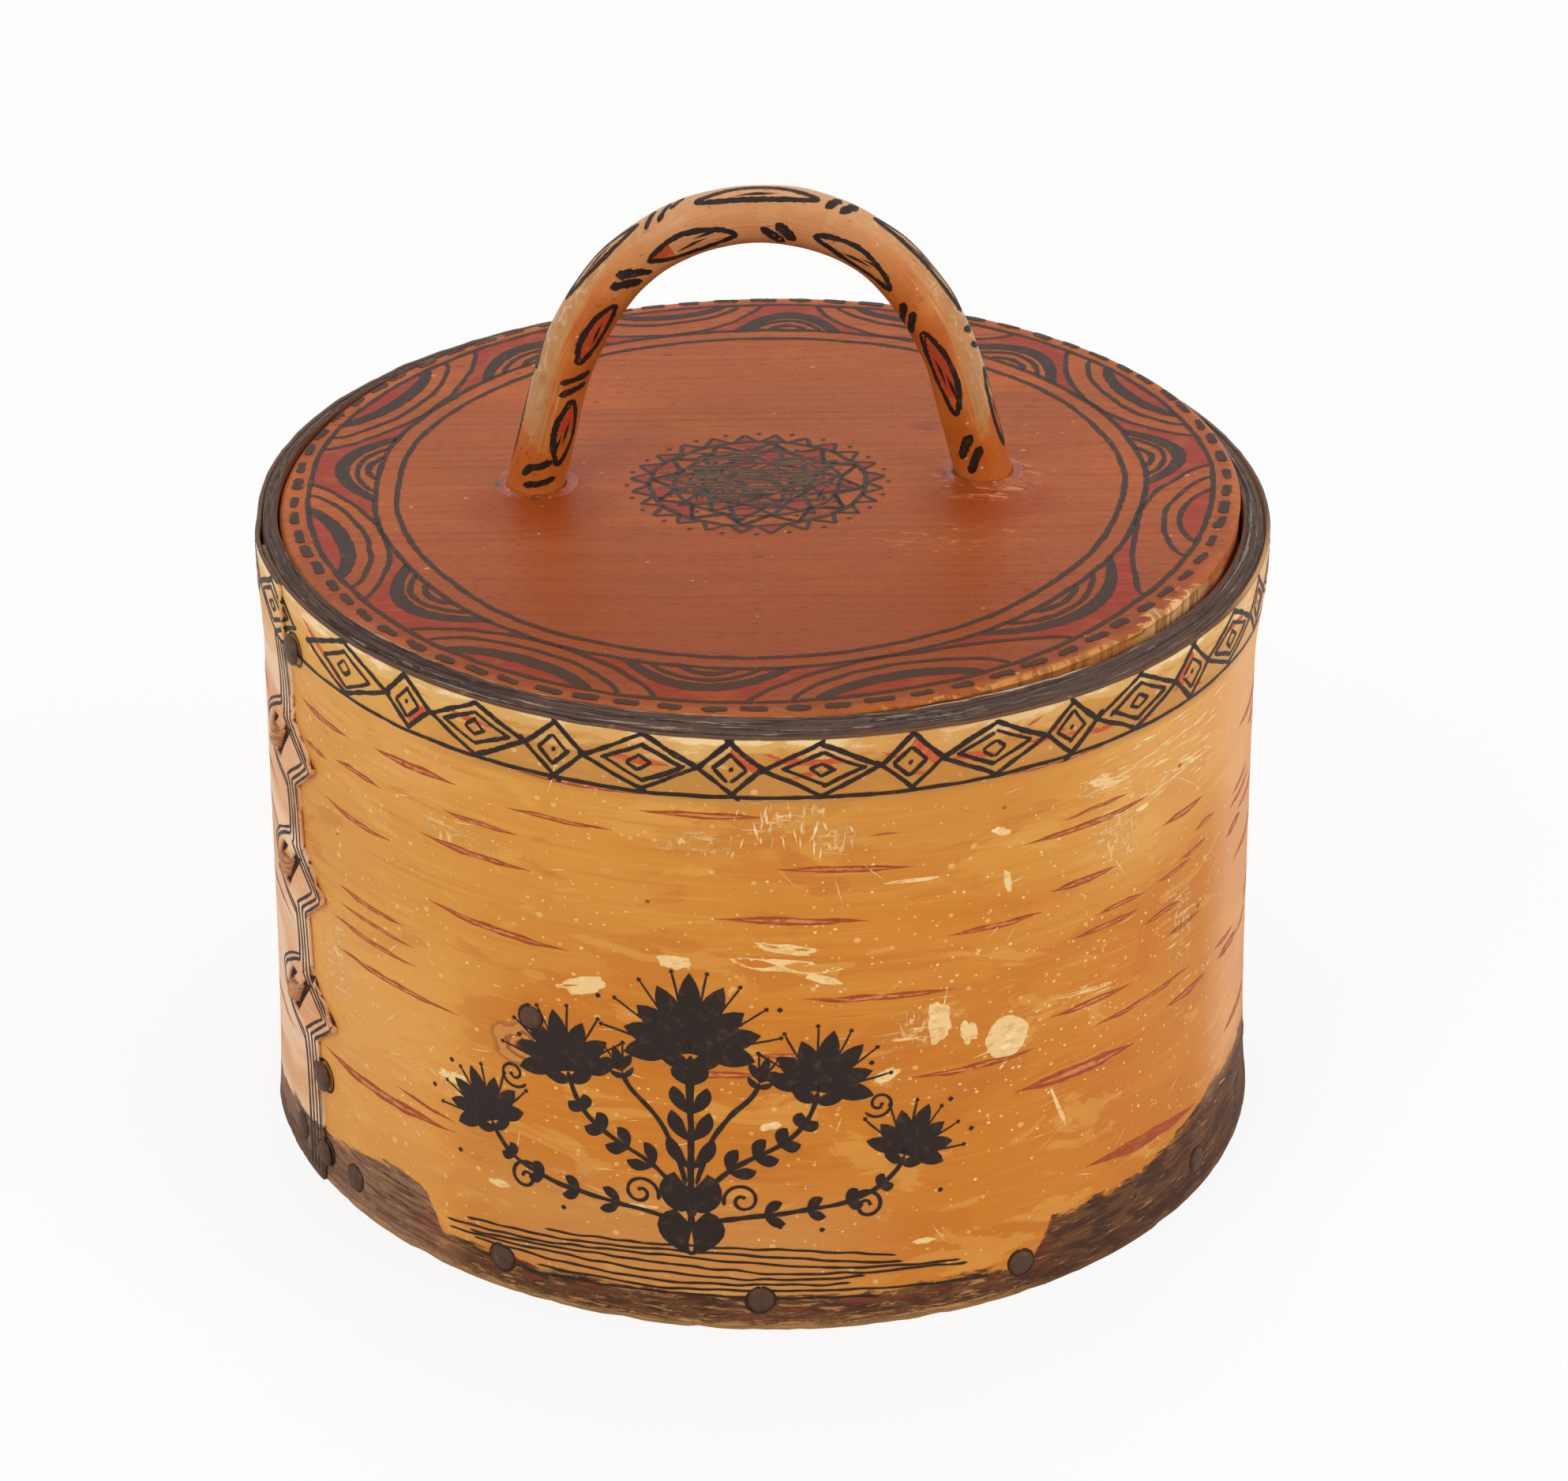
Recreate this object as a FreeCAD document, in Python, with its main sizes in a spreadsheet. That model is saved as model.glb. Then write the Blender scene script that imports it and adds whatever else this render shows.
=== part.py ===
import FreeCAD, Part
import math
import os
import Sketcher
from FreeCAD import Placement, Rotation, Vector

# A round lidded box of birch bark, in millimetres: a thick bark tube wrapped in a thin sheet of
# bark whose ends interlock in a seam, a board tacked in as the bottom, and a pine lid that drops
# inside the rim and is lifted by a bent twig.
# The origin is the centre of the base on the floor, +Z is up and the painted front faces -Y.
# A turn is an angle about Z, measured from the front towards +X.

doc = FreeCAD.newDocument("bark_box")
sheet = doc.addObject("Spreadsheet::Sheet", "Sizes")

DRIVING_SIZES = [
    # the wall: two layers of bark and a short lining that carries the lid
    ("box_radius", 95.0),
    ("wall_height", 122.0),
    ("sheet_thickness", 1.2),
    ("tube_thickness", 2.8),
    ("lining_thickness", 2.0),
    ("rim_bevel", 0.5),
    ("bark_fit", 0.05),
    # the bottom board
    ("board_thickness", 11.0),
    ("board_bevel", 0.6),
    # the lid, which lies a little askew on its seat, highest at the turn where it rises
    ("lid_thickness", 12.0),
    ("lid_proud", 2.1),
    ("lid_clearance", 0.5),
    ("lid_tilt", 1.61),
    ("lid_rise_turn", 106.0),
    ("lid_bevel", 0.8),
    # the twig bent into a handle, and the pegs that lock its ends under the lid
    ("handle_diameter", 10.6),
    ("handle_span", 84.2),
    ("handle_rise", 53.0),
    ("handle_offset", 5.5),
    ("handle_turn", 2.0),
    ("crown_share", 0.413),
    ("crown_angle", 55.0),
    ("leg_lean", 14.0),
    ("leg_tail", 9.0),
    ("leg_fit", 0.3),
    ("peg_width", 4.2),
    ("peg_length", 24.0),
    ("peg_taper", 0.5),
    ("peg_fit", 0.05),
    # the tacks
    ("tack_count", 12),
    ("tack_turn", 0.4),
    ("tack_height", 6.2),
    ("tack_head", 5.0),
    ("tack_dome", 1.0),
    ("tack_shank", 1.6),
    ("tack_tip", 0.3),
    ("tack_length", 12.0),
    ("tack_fit", 0.05),
    ("tack_spread", 6.4),
    ("seam_tack_head", 6.0),
    ("seam_tack_length", 4.4),
    ("rim_tack_drop", 11.6),
    ("rim_tack_turn", -62.8),
    ("foot_tack_height", 22.7),
    ("foot_tack_turn", -59.3),
    ("knot_tack_head", 4.4),
    ("knot_tack_length", 3.5),
    ("knot_tack_height", 59.3),
    ("knot_tack_turn", -25.4),
    # the seam of the outer sheet
    ("seam_turn", -59.8),
    ("seam_lean", 2.8),
    ("overlap_width", 28.0),
    ("ramp_width", 12.0),
    ("flap_thickness", 0.8),
    ("point_count", 3),
    ("point_height", 36.0),
    ("point_pitch", 26.0),
    ("point_reach", 9.0),
    ("point_width", 13.2),
    ("slit_inset", 5.4),
    ("slit_spacing", 6.2),
    ("slit_length", 6.4),
    ("slit_width", 2.4),
    ("slit_slant", 35.0),
    ("strap_width", 4.2),
    ("strap_thickness", 0.7),
]

size = dict(DRIVING_SIZES)
for row, (alias, number) in enumerate(DRIVING_SIZES, start=1):
    sheet.set(f"A{row}", alias)
    sheet.set(f"B{row}", str(number))
    sheet.setAlias(f"B{row}", alias)
doc.recompute()

TUBE_RADIUS = "Sizes.box_radius - Sizes.sheet_thickness"
BORE_RADIUS = f"{TUBE_RADIUS} - Sizes.tube_thickness"
SEAT_HEIGHT = "Sizes.wall_height + Sizes.lid_proud - Sizes.lid_thickness"
FLAP_INNER = "Sizes.box_radius + Sizes.bark_fit"
FLAP_OUTER = f"{FLAP_INNER} + Sizes.flap_thickness"

tube_radius = size["box_radius"] - size["sheet_thickness"]
bore_radius = tube_radius - size["tube_thickness"]
seat_height = size["wall_height"] + size["lid_proud"] - size["lid_thickness"]
flap_inner = size["box_radius"] + size["bark_fit"]
flap_outer = flap_inner + size["flap_thickness"]
tool_reach = 20.0
whole_turn = 360.0

Z_AXIS = Vector(0, 0, 1)
UPRIGHT = Rotation(Vector(1, 0, 0), 90)


def add(type_name, name, **properties):
    """A document object with its properties set."""
    item = doc.addObject(type_name, name)
    for key, value in properties.items():
        setattr(item, key, value)
    return item


def bind(item, **expressions):
    """Ties properties of an object to the sheet."""
    for key, expression in expressions.items():
        item.setExpression(key, expression)
    return item


def facing_out(turn, height, radius=0.0, depth=0.0):
    """A frame at a turn and height whose local Z points straight out of the wall."""
    spin = Rotation(Z_AXIS, turn) * UPRIGHT
    reach = Vector(0, 0, radius - depth)
    return Placement(Vector(0, 0, height) + spin.multVec(reach), spin)


def lid_frame(shift=Vector(0, 0, 0), turned=Rotation()):
    """A place given in the lid's own frame, whose origin is the centre of its underside."""
    hinge_line = Rotation(Z_AXIS, size["lid_rise_turn"]).multVec(Vector(-1, 0, 0))
    lid = Placement(Vector(0, 0, seat_height), Rotation(hinge_line, size["lid_tilt"]))
    return lid * Placement(shift, turned)


def origin_plane(body, role):
    """One of a body's own origin planes."""
    return next(f for f in body.Origin.OriginFeatures if f.Role == role)


def new_sketch(body, name, role):
    """A sketch on one of a body's own planes."""
    sketch = body.newObject("Sketcher::SketchObject", name)
    sketch.AttachmentSupport = [(origin_plane(body, role), "")]
    sketch.MapMode = "FlatFace"
    return sketch


def constrain(sketch, *constraint):
    return sketch.addConstraint(Sketcher.Constraint(*constraint))


def joined(sketch, edges):
    """Ties the ends of consecutive edges together, the last to the first."""
    for edge, following in zip(edges, edges[1:] + edges[:1]):
        constrain(sketch, "Coincident", edge, 2, following, 1)


def outline(sketch, points):
    """A closed outline of straight edges through the points."""
    corners = [Vector(x, y, 0) for x, y in points]
    edges = [sketch.addGeometry(Part.LineSegment(a, b), False)
             for a, b in zip(corners, corners[1:] + corners[:1])]
    joined(sketch, edges)
    return edges


def turned_piece(name, outer, low, high, inner=None):
    """A body turned about Z from a rectangle. Its faces are expressions of the sheet."""
    body = add("PartDesign::Body", f"{name}_body")
    sketch = new_sketch(body, f"{name}_profile", "XZ_Plane")
    faces = {"inner": inner, "outer": outer, "low": low, "high": high}
    start = {k: sheet.evalExpression(v) if v else 0.0 for k, v in faces.items()}
    left, right, foot, top = start["inner"], start["outer"], start["low"], start["high"]
    edges = outline(sketch, [(left, foot), (right, foot), (right, top), (left, top)])
    for edge in edges[0::2]:
        constrain(sketch, "Horizontal", edge)
    for edge in edges[1::2]:
        constrain(sketch, "Vertical", edge)
    places = [("inner", "DistanceX", edges[0], 1, -2), ("low", "DistanceY", edges[0], 1, -1),
              ("outer", "DistanceX", edges[2], 1, -2), ("high", "DistanceY", edges[2], 1, -1)]
    for key, kind, edge, end, axis in places:
        if abs(start[key]) < 1e-9:
            constrain(sketch, "PointOnObject", edge, end, axis)
            continue
        index = constrain(sketch, kind, -1, 1, edge, end, start[key])
        sketch.renameConstraint(index, key)
        sketch.setExpression(f"Constraints.{key}", faces[key])
    turned = body.newObject("PartDesign::Revolution", f"{name}_turned")
    turned.Profile = sketch
    turned.ReferenceAxis = (sketch, ["V_Axis"])
    turned.Angle = whole_turn
    doc.recompute()
    return body


def bevel_circles(body, bevel, heights):
    """Bevels the round edges of a body that lie at the given heights."""
    base = body.Tip
    names = [f"Edge{i}" for i, edge in enumerate(base.Shape.Edges, start=1)
             if isinstance(edge.Curve, Part.Circle)
             and any(abs(edge.CenterOfMass.z - level) < 1e-6 for level in heights)]
    chamfer = body.newObject("PartDesign::Chamfer", f"{body.Name}_bevel")
    chamfer.Base = (base, names)
    chamfer.setExpression("Size", bevel)
    doc.recompute()


def cut(name, base, tool):
    return add("Part::Cut", name, Base=base, Tool=tool)


def group(name, items):
    return add("Part::Compound", name, Links=items)


def tapered_bar(name, place, wide, narrow, first, last):
    """A four-sided bar along its local Y, from a wide end to a narrow one."""
    bar = add("Part::Wedge", name, Placement=place)
    return bind(bar, Ymin=first, Ymax=last,
                Xmin=f"-0.5 * ({wide})", Xmax=f"0.5 * ({wide})",
                Zmin=f"-0.5 * ({wide})", Zmax=f"0.5 * ({wide})",
                X2min=f"-0.5 * ({narrow})", X2max=f"0.5 * ({narrow})",
                Z2min=f"-0.5 * ({narrow})", Z2max=f"0.5 * ({narrow})")


# Tacks: each is a turned head on a forged four-sided shank, placed facing out of the wall, and
# each has a bore of its own through every layer that it holds.

def seat_radius(turn, height, head):
    """How far out a tack's head is seated: on the seam's flap where the head reaches it."""
    if turn > 0.5 * whole_turn:
        turn -= whole_turn
    edge_turn = size["seam_turn"] - math.degrees(lean_at(height) / size["box_radius"])
    head_reach = math.degrees(0.5 * head / size["box_radius"])
    overlap = math.degrees((size["overlap_width"] + size["ramp_width"]) / size["box_radius"])
    on_flap = edge_turn - overlap < turn < edge_turn + head_reach
    return flap_outer if on_flap else size["box_radius"]


def lean_at(height):
    """How far the seam's edge has leaned back at a height."""
    return height * math.tan(math.radians(size["seam_lean"]))


def head_profile(name, head):
    """Half of a tack head's section, beside its axis: a flat crown that slopes to a thin brim."""
    profile = add("Sketcher::SketchObject", f"{name}_profile", Placement=Placement(Vector(), UPRIGHT))
    dome = size["tack_dome"]
    outline(profile, [(0.0, 0.0), (0.5 * head, 0.0), (0.5 * head, 0.3 * dome), (0.3 * head, dome),
                      (0.0, dome)])
    return profile


def tacks(name, places, head, length):
    """A set of like tacks, and the set of bores that they are driven in."""
    profile = head_profile(name, size[head])
    inwards = Placement(Vector(), Rotation(Vector(1, 0, 0), -90))
    driven = []
    bores = []
    for number, (turn, height) in enumerate(places, start=1):
        seat = seat_radius(turn, height, size[head])
        crown = add("Part::Revolution", f"{name}_head_{number}", Source=profile, Axis=Z_AXIS,
                    Angle=whole_turn, Solid=True, Placement=facing_out(turn, height, seat))
        along = facing_out(turn, height, seat) * inwards
        start = "-0.5 * Sizes.tack_dome"
        shank = tapered_bar(f"{name}_shank_{number}", along, "Sizes.tack_shank", "Sizes.tack_tip",
                            start, f"Sizes.{length}")
        driven.append(add("Part::MultiFuse", f"{name}_{number}", Shapes=[crown, shank]))
        bores.append(tapered_bar(f"{name}_bore_{number}", along,
                                 "Sizes.tack_shank + 2 * Sizes.tack_fit",
                                 "Sizes.tack_tip + 2 * Sizes.tack_fit",
                                 start, f"Sizes.{length} + Sizes.tack_fit"))
    return group(name, driven), bores


# The ring tack nearest the seam has one more on each side of it, which hold the two layers down.
ring_pitch = whole_turn / size["tack_count"]
ring_turns = [size["tack_turn"] + ring_pitch * number for number in range(size["tack_count"])]
seam_side = min((turn - whole_turn for turn in ring_turns),
                key=lambda turn: abs(turn - size["seam_turn"]))
ring_turns += [seam_side - size["tack_spread"], seam_side + size["tack_spread"]]
ring_places = [(turn, size["tack_height"]) for turn in ring_turns]
base_tacks, base_bores = tacks("base_tacks", ring_places, "tack_head", "tack_length")
seam_places = [(size["rim_tack_turn"], size["wall_height"] - size["rim_tack_drop"]),
               (size["foot_tack_turn"], size["foot_tack_height"])]
seam_tacks, seam_bores = tacks("seam_tacks", seam_places, "seam_tack_head", "seam_tack_length")
knot_place = (size["knot_tack_turn"], size["knot_tack_height"])
knot_tack, knot_bores = tacks("knot_tack", [knot_place], "knot_tack_head", "knot_tack_length")


# Inner tube, lining and bottom board, one inside the other.

def wall_bores(name):
    return group(f"{name}_bores", base_bores + seam_bores + knot_bores)


tube_body = turned_piece("inner_bark_tube", inner=BORE_RADIUS, outer=f"{TUBE_RADIUS} - Sizes.bark_fit",
                         low="0", high="Sizes.wall_height")
bevel_circles(tube_body, "Sizes.rim_bevel", [size["wall_height"]])
inner_bark_tube = cut("inner_bark_tube", tube_body, wall_bores("tube"))

board_body = turned_piece("bottom_board", outer=f"{BORE_RADIUS} - Sizes.bark_fit", low="0",
                          high="Sizes.board_thickness")
bevel_circles(board_body, "Sizes.board_bevel", [0.0])
bottom_board = cut("bottom_board", board_body, group("board_bores", base_bores))

lining_outer = f"{BORE_RADIUS} - Sizes.bark_fit"
lining_body = turned_piece("inner_lining", inner=f"{lining_outer} - Sizes.lining_thickness",
                           outer=lining_outer, low="Sizes.board_thickness",
                           high=f"{SEAT_HEIGHT} + Sizes.lid_thickness")
above_seat = add("Part::Box", "above_seat",
                 Placement=lid_frame(Vector(-size["box_radius"], -size["box_radius"], 0)))
bind(above_seat, Length="2 * Sizes.box_radius", Width="2 * Sizes.box_radius",
     Height="2 * Sizes.lid_thickness")
inner_lining = cut("inner_lining", lining_body, above_seat)


# Outer sheet: it runs once round the tube, climbs a ramp over its own hidden end and lies on it
# as a flap. The flap's free edge is cut into points, and straps of the layer below come up
# through its slits and lock it down.

def on_circle(radius, turn):
    angle = math.radians(turn - 90.0)
    return Vector(radius * math.cos(angle), radius * math.sin(angle), 0)


def turn_along(width):
    """The turn that a width along the wall takes up."""
    return math.degrees(width / size["box_radius"])


hidden_end = size["seam_turn"] - turn_along(size["overlap_width"])
ramp_top = hidden_end - turn_along(2.0 * size["sheet_thickness"])
ramp_foot = ramp_top - turn_along(size["ramp_width"])
stub_end = hidden_end + turn_along(0.25 * size["overlap_width"])


def arc(sketch, radius, first, last, name, expression):
    """An arc of the sheet's section about the box's axis, between two turns."""
    circle = Part.Circle(Vector(), Z_AXIS, radius)
    piece = Part.ArcOfCircle(circle, math.radians(first - 90.0), math.radians(last - 90.0))
    edge = sketch.addGeometry(piece, False)
    constrain(sketch, "Coincident", edge, 3, -1, 1)
    index = constrain(sketch, "Radius", edge, radius)
    sketch.renameConstraint(index, name)
    sketch.setExpression(f"Constraints.{name}", expression)
    return edge


def spiral_body():
    """The sheet's own section, padded to the height of the wall."""
    body = add("PartDesign::Body", "sheet_body")
    sketch = new_sketch(body, "sheet_section", "XY_Plane")
    outside = size["box_radius"]
    last_turn = ramp_foot + whole_turn
    back = arc(sketch, tube_radius, hidden_end, last_turn, "back", TUBE_RADIUS)
    front = arc(sketch, outside, hidden_end, last_turn, "front", "Sizes.box_radius")
    under = arc(sketch, flap_inner, ramp_top, stub_end, "under", FLAP_INNER)
    over = arc(sketch, flap_outer, ramp_top, stub_end, "over", FLAP_OUTER)
    joints = [(back, 2, under, 1), (front, 2, over, 1), (under, 2, over, 2), (back, 1, front, 1)]
    corners = [
        (on_circle(tube_radius, ramp_foot), on_circle(flap_inner, ramp_top)),
        (on_circle(outside, ramp_foot), on_circle(flap_outer, ramp_top)),
        (on_circle(flap_inner, stub_end), on_circle(flap_outer, stub_end)),
        (on_circle(tube_radius, hidden_end), on_circle(outside, hidden_end)),
    ]
    for (first, first_end, second, second_end), (start, finish) in zip(joints, corners):
        line = sketch.addGeometry(Part.LineSegment(start, finish), False)
        constrain(sketch, "Coincident", line, 1, first, first_end)
        constrain(sketch, "Coincident", line, 2, second, second_end)
    pad = body.newObject("PartDesign::Pad", "sheet_wall")
    pad.Profile = sketch
    pad.setExpression("Length", "Sizes.wall_height")
    doc.recompute()
    return body


def curved_patch(name, points, inner, outer):
    """What an outline on the seam covers of a bark layer between two radii."""
    profile = add("Sketcher::SketchObject", f"{name}_outline",
                  Placement=facing_out(size["seam_turn"], 0.0))
    outline(profile, points)
    prism = add("Part::Extrusion", f"{name}_prism", Base=profile, DirMode="Normal", Solid=True)
    prism.LengthFwd = size["box_radius"] + tool_reach
    outside = bind(add("Part::Cylinder", f"{name}_outside"), Radius=outer, Height="Sizes.wall_height")
    inside = bind(add("Part::Cylinder", f"{name}_inside"), Radius=inner, Height="Sizes.wall_height")
    layer = cut(f"{name}_layer", outside, inside)
    return add("Part::Common", name, Base=layer, Tool=prism)


def flap_outline():
    """The flap from its root to the free edge, which has a row of points."""
    top = size["wall_height"]
    root = -0.9 * size["overlap_width"]
    edge = [(-lean_at(0.0), 0.0)]
    for number in range(size["point_count"]):
        middle = size["point_height"] + number * size["point_pitch"]
        half = 0.5 * size["point_width"]
        edge.append((-lean_at(middle - half), middle - half))
        edge.append((size["point_reach"] - lean_at(middle), middle))
        edge.append((-lean_at(middle + half), middle + half))
    edge.append((-lean_at(top), top))
    return [(root, 0.0)] + edge + [(root, top)]


def slanted(left, right, middle, half_height):
    """A parallelogram whose upright sides slant like the slits."""
    slant = half_height * math.tan(math.radians(size["slit_slant"]))
    return [(left - slant, middle - half_height), (right - slant, middle - half_height),
            (right + slant, middle + half_height), (left + slant, middle + half_height)]


def seam_lock(number):
    """The two slits of one lock, and the strap that is woven through them."""
    middle = size["point_height"] + number * size["point_pitch"]
    near = -lean_at(middle) - size["slit_inset"]
    far = near - size["slit_spacing"]
    half_slit = 0.5 * size["slit_width"]
    half_leg = 0.5 * size["strap_thickness"]
    above = f"{FLAP_OUTER} + Sizes.bark_fit"
    strap_face = f"{above} + Sizes.strap_thickness"
    slits = []
    strap = []
    for side, centre in (("near", near), ("far", far)):
        label = f"{side}_{number + 1}"
        window = slanted(centre - half_slit, centre + half_slit, middle, 0.5 * size["slit_length"])
        slits.append(curved_patch(f"slit_{label}", window, "Sizes.box_radius", strap_face))
        leg = slanted(centre - half_leg, centre + half_leg, middle, 0.5 * size["strap_width"])
        strap.append(curved_patch(f"strap_leg_{label}", leg, TUBE_RADIUS, strap_face))
    bridge = slanted(far - half_leg, near + half_leg, middle, 0.5 * size["strap_width"])
    strap.append(curved_patch(f"strap_bridge_{number + 1}", bridge, above, strap_face))
    return slits, strap


flap = curved_patch("flap", flap_outline(), FLAP_INNER, FLAP_OUTER)
slits = []
straps = []
for lock in range(size["point_count"]):
    lock_slits, lock_strap = seam_lock(lock)
    slits += lock_slits
    straps += lock_strap
plain_sheet = add("Part::MultiFuse", "sheet_with_flap", Shapes=[spiral_body(), flap])
slit_sheet = cut("sheet_with_slits", plain_sheet, group("slits", slits))
woven_sheet = add("Part::MultiFuse", "woven_sheet", Shapes=[slit_sheet] + straps)
outer_bark_sheet = cut("outer_bark_sheet", woven_sheet, wall_bores("sheet"))


# Handle: a twig of one thickness bent to a crown, two shoulders and two leaning legs. The crown's
# radius is a share of the span. The arcs and the legs are tangent, so the span and the rise
# settle the shoulders and the legs.

crown_radius = size["crown_share"] * size["handle_span"]


def solve_shoulder():
    """The shoulder's radius and the leg's length above the lid."""
    crown = math.radians(size["crown_angle"])
    lean = math.radians(size["leg_lean"])
    across = 0.5 * size["handle_span"] - crown_radius * math.sin(crown)
    down = size["handle_rise"] - crown_radius * (1.0 - math.cos(crown))
    a, b = math.cos(lean) - math.sin(crown), math.sin(lean)
    c, d = math.cos(crown) - math.sin(lean), math.cos(lean)
    determinant = a * d - b * c
    return (across * d - b * down) / determinant, (a * down - c * across) / determinant


shoulder_radius, leg_length = solve_shoulder()
lean = math.radians(size["leg_lean"])


def leg_point(side, height):
    """The middle of a leg at a height above the lid's underside, in the handle's own plane."""
    below_top = size["lid_thickness"] - height
    return Vector(side * (0.5 * size["handle_span"] + below_top * math.tan(lean)), height, 0)


def twig_path(sketch):
    """Left leg, left shoulder, crown, right shoulder and right leg."""
    crown = math.radians(size["crown_angle"])
    apex = size["lid_thickness"] + size["handle_rise"]
    crown_centre = Vector(0, apex - crown_radius, 0)
    slope = crown_radius - shoulder_radius
    quarter = 0.5 * math.pi
    legs = {}
    arcs = {}
    for side in (-1, 1):
        centre = crown_centre + Vector(side * slope * math.sin(crown), slope * math.cos(crown), 0)
        circle = Part.Circle(centre, Z_AXIS, shoulder_radius)
        ends = sorted([quarter - side * crown, quarter - side * (quarter - lean)])
        arcs[side] = Part.ArcOfCircle(circle, *ends)
        knee = centre + Vector(side * math.cos(lean), math.sin(lean), 0) * shoulder_radius
        tail = leg_point(side, -size["leg_tail"])
        legs[side] = (tail, knee) if side < 0 else (knee, tail)
    top = Part.ArcOfCircle(Part.Circle(crown_centre, Z_AXIS, crown_radius),
                           quarter - crown, quarter + crown)
    left_leg = sketch.addGeometry(Part.LineSegment(*legs[-1]), False)
    left = sketch.addGeometry(arcs[-1], False)
    middle = sketch.addGeometry(top, False)
    right = sketch.addGeometry(arcs[1], False)
    right_leg = sketch.addGeometry(Part.LineSegment(*legs[1]), False)
    constrain(sketch, "Tangent", left_leg, 2, left, 2)
    constrain(sketch, "Tangent", left, 1, middle, 2)
    constrain(sketch, "Tangent", middle, 1, right, 2)
    constrain(sketch, "Tangent", right, 1, right_leg, 1)


def twig_body():
    body = add("PartDesign::Body", "twig_body")
    path = new_sketch(body, "twig_path", "XZ_Plane")
    twig_path(path)
    section = new_sketch(body, "twig_section", "XY_Plane")
    tail = leg_point(-1, -size["leg_tail"])
    section.AttachmentOffset = Placement(Vector(tail.x, 0, tail.y),
                                         Rotation(Vector(0, 1, 0), size["leg_lean"]))
    circle = section.addGeometry(Part.Circle(Vector(), Z_AXIS, 0.5 * size["handle_diameter"]), False)
    constrain(section, "Coincident", circle, 3, -1, 1)
    index = constrain(section, "Diameter", circle, size["handle_diameter"])
    section.renameConstraint(index, "thickness")
    section.setExpression("Constraints.thickness", "Sizes.handle_diameter")
    pipe = body.newObject("PartDesign::AdditivePipe", "twig_bend")
    pipe.Profile = section
    pipe.Spine = path
    doc.recompute()
    return body


handle_plane = Placement(Vector(0, size["handle_offset"], 0),
                         Rotation(Z_AXIS, size["handle_turn"]))
peg_drop = 0.5 * size["peg_width"] + size["peg_fit"]
pegs = {}
peg_bores = []
lid_holes = []
for side, word in ((-1, "left"), (1, "right")):
    middle = leg_point(side, -peg_drop)
    place = lid_frame() * handle_plane * Placement(
        Vector(middle.x, -0.5 * size["peg_length"], middle.y), Rotation())
    pegs[word] = tapered_bar(f"handle_peg_{word}", place, "Sizes.peg_width",
                             "Sizes.peg_width - Sizes.peg_taper", "0", "Sizes.peg_length")
    bore = tapered_bar(f"peg_bore_{word}", place, "Sizes.peg_width + 2 * Sizes.peg_fit",
                       "Sizes.peg_width - Sizes.peg_taper + 2 * Sizes.peg_fit", "0",
                       "Sizes.peg_length")
    peg_bores.append(bore)
    foot = leg_point(side, -tool_reach)
    hole = add("Part::Cylinder", f"lid_hole_{word}",
               Placement=handle_plane * Placement(
                   Vector(foot.x, 0, foot.y), Rotation(Vector(0, 1, 0), -side * size["leg_lean"])))
    bind(hole, Radius="0.5 * Sizes.handle_diameter + Sizes.leg_fit",
         Height=f"Sizes.lid_thickness + {3 * tool_reach}")
    lid_holes.append(hole)

bent_twig = twig_body()
bent_twig.Placement = lid_frame() * handle_plane
twig_handle = cut("twig_handle", bent_twig, group("peg_bores", peg_bores))

lid_disc = turned_piece("lid_board", outer=f"{BORE_RADIUS} - Sizes.lid_clearance", low="0",
                        high="Sizes.lid_thickness")
bevel_circles(lid_disc, "Sizes.lid_bevel", [0.0, size["lid_thickness"]])
lid_board = cut("lid_board", lid_disc, group("lid_holes", lid_holes))
lid_board.Placement = lid_frame()


# Checks, then one file for each piece.

doc.recompute()
failed = [item.Name for item in doc.Objects if {"Invalid", "Error"} & set(item.State)]
if failed:
    raise RuntimeError(f"failed to build: {failed}")

NODES = {
    "outer_bark_sheet": outer_bark_sheet,
    "inner_bark_tube": inner_bark_tube,
    "inner_lining": inner_lining,
    "bottom_board": bottom_board,
    "base_tacks": base_tacks,
    "seam_tacks": seam_tacks,
    "knot_tack": knot_tack,
    "lid_board": lid_board,
    "twig_handle": twig_handle,
    "handle_peg_left": pegs["left"],
    "handle_peg_right": pegs["right"],
}

os.makedirs("parts", exist_ok=True)
for name, item in NODES.items():
    item.Label = name
    if item.Shape.isNull() or not item.Shape.isValid():
        raise RuntimeError(f"{name} has no valid shape")
    print(f"{name}: {len(item.Shape.Solids)} solids, {item.Shape.Volume / 1000:.2f} cm3")
for name, item in NODES.items():
    item.Shape.exportStep(f"parts/{name}.step")
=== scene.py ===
import bmesh
import bpy
import math
import random
from mathutils import Matrix, Vector, noise


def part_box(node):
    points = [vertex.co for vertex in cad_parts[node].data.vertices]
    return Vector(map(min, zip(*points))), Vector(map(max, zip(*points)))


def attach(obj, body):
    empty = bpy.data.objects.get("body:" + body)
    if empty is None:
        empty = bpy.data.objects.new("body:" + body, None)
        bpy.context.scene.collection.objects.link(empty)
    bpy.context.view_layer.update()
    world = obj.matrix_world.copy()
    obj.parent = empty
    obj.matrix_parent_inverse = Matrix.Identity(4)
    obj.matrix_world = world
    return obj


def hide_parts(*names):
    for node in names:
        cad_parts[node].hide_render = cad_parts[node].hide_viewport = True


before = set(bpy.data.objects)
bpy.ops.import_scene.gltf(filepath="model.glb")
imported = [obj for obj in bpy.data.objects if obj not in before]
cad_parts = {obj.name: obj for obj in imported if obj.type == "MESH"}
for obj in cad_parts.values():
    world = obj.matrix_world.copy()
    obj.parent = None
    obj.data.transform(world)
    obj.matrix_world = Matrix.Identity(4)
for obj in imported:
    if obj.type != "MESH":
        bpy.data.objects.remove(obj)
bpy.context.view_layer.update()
MM = 0.001


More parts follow.
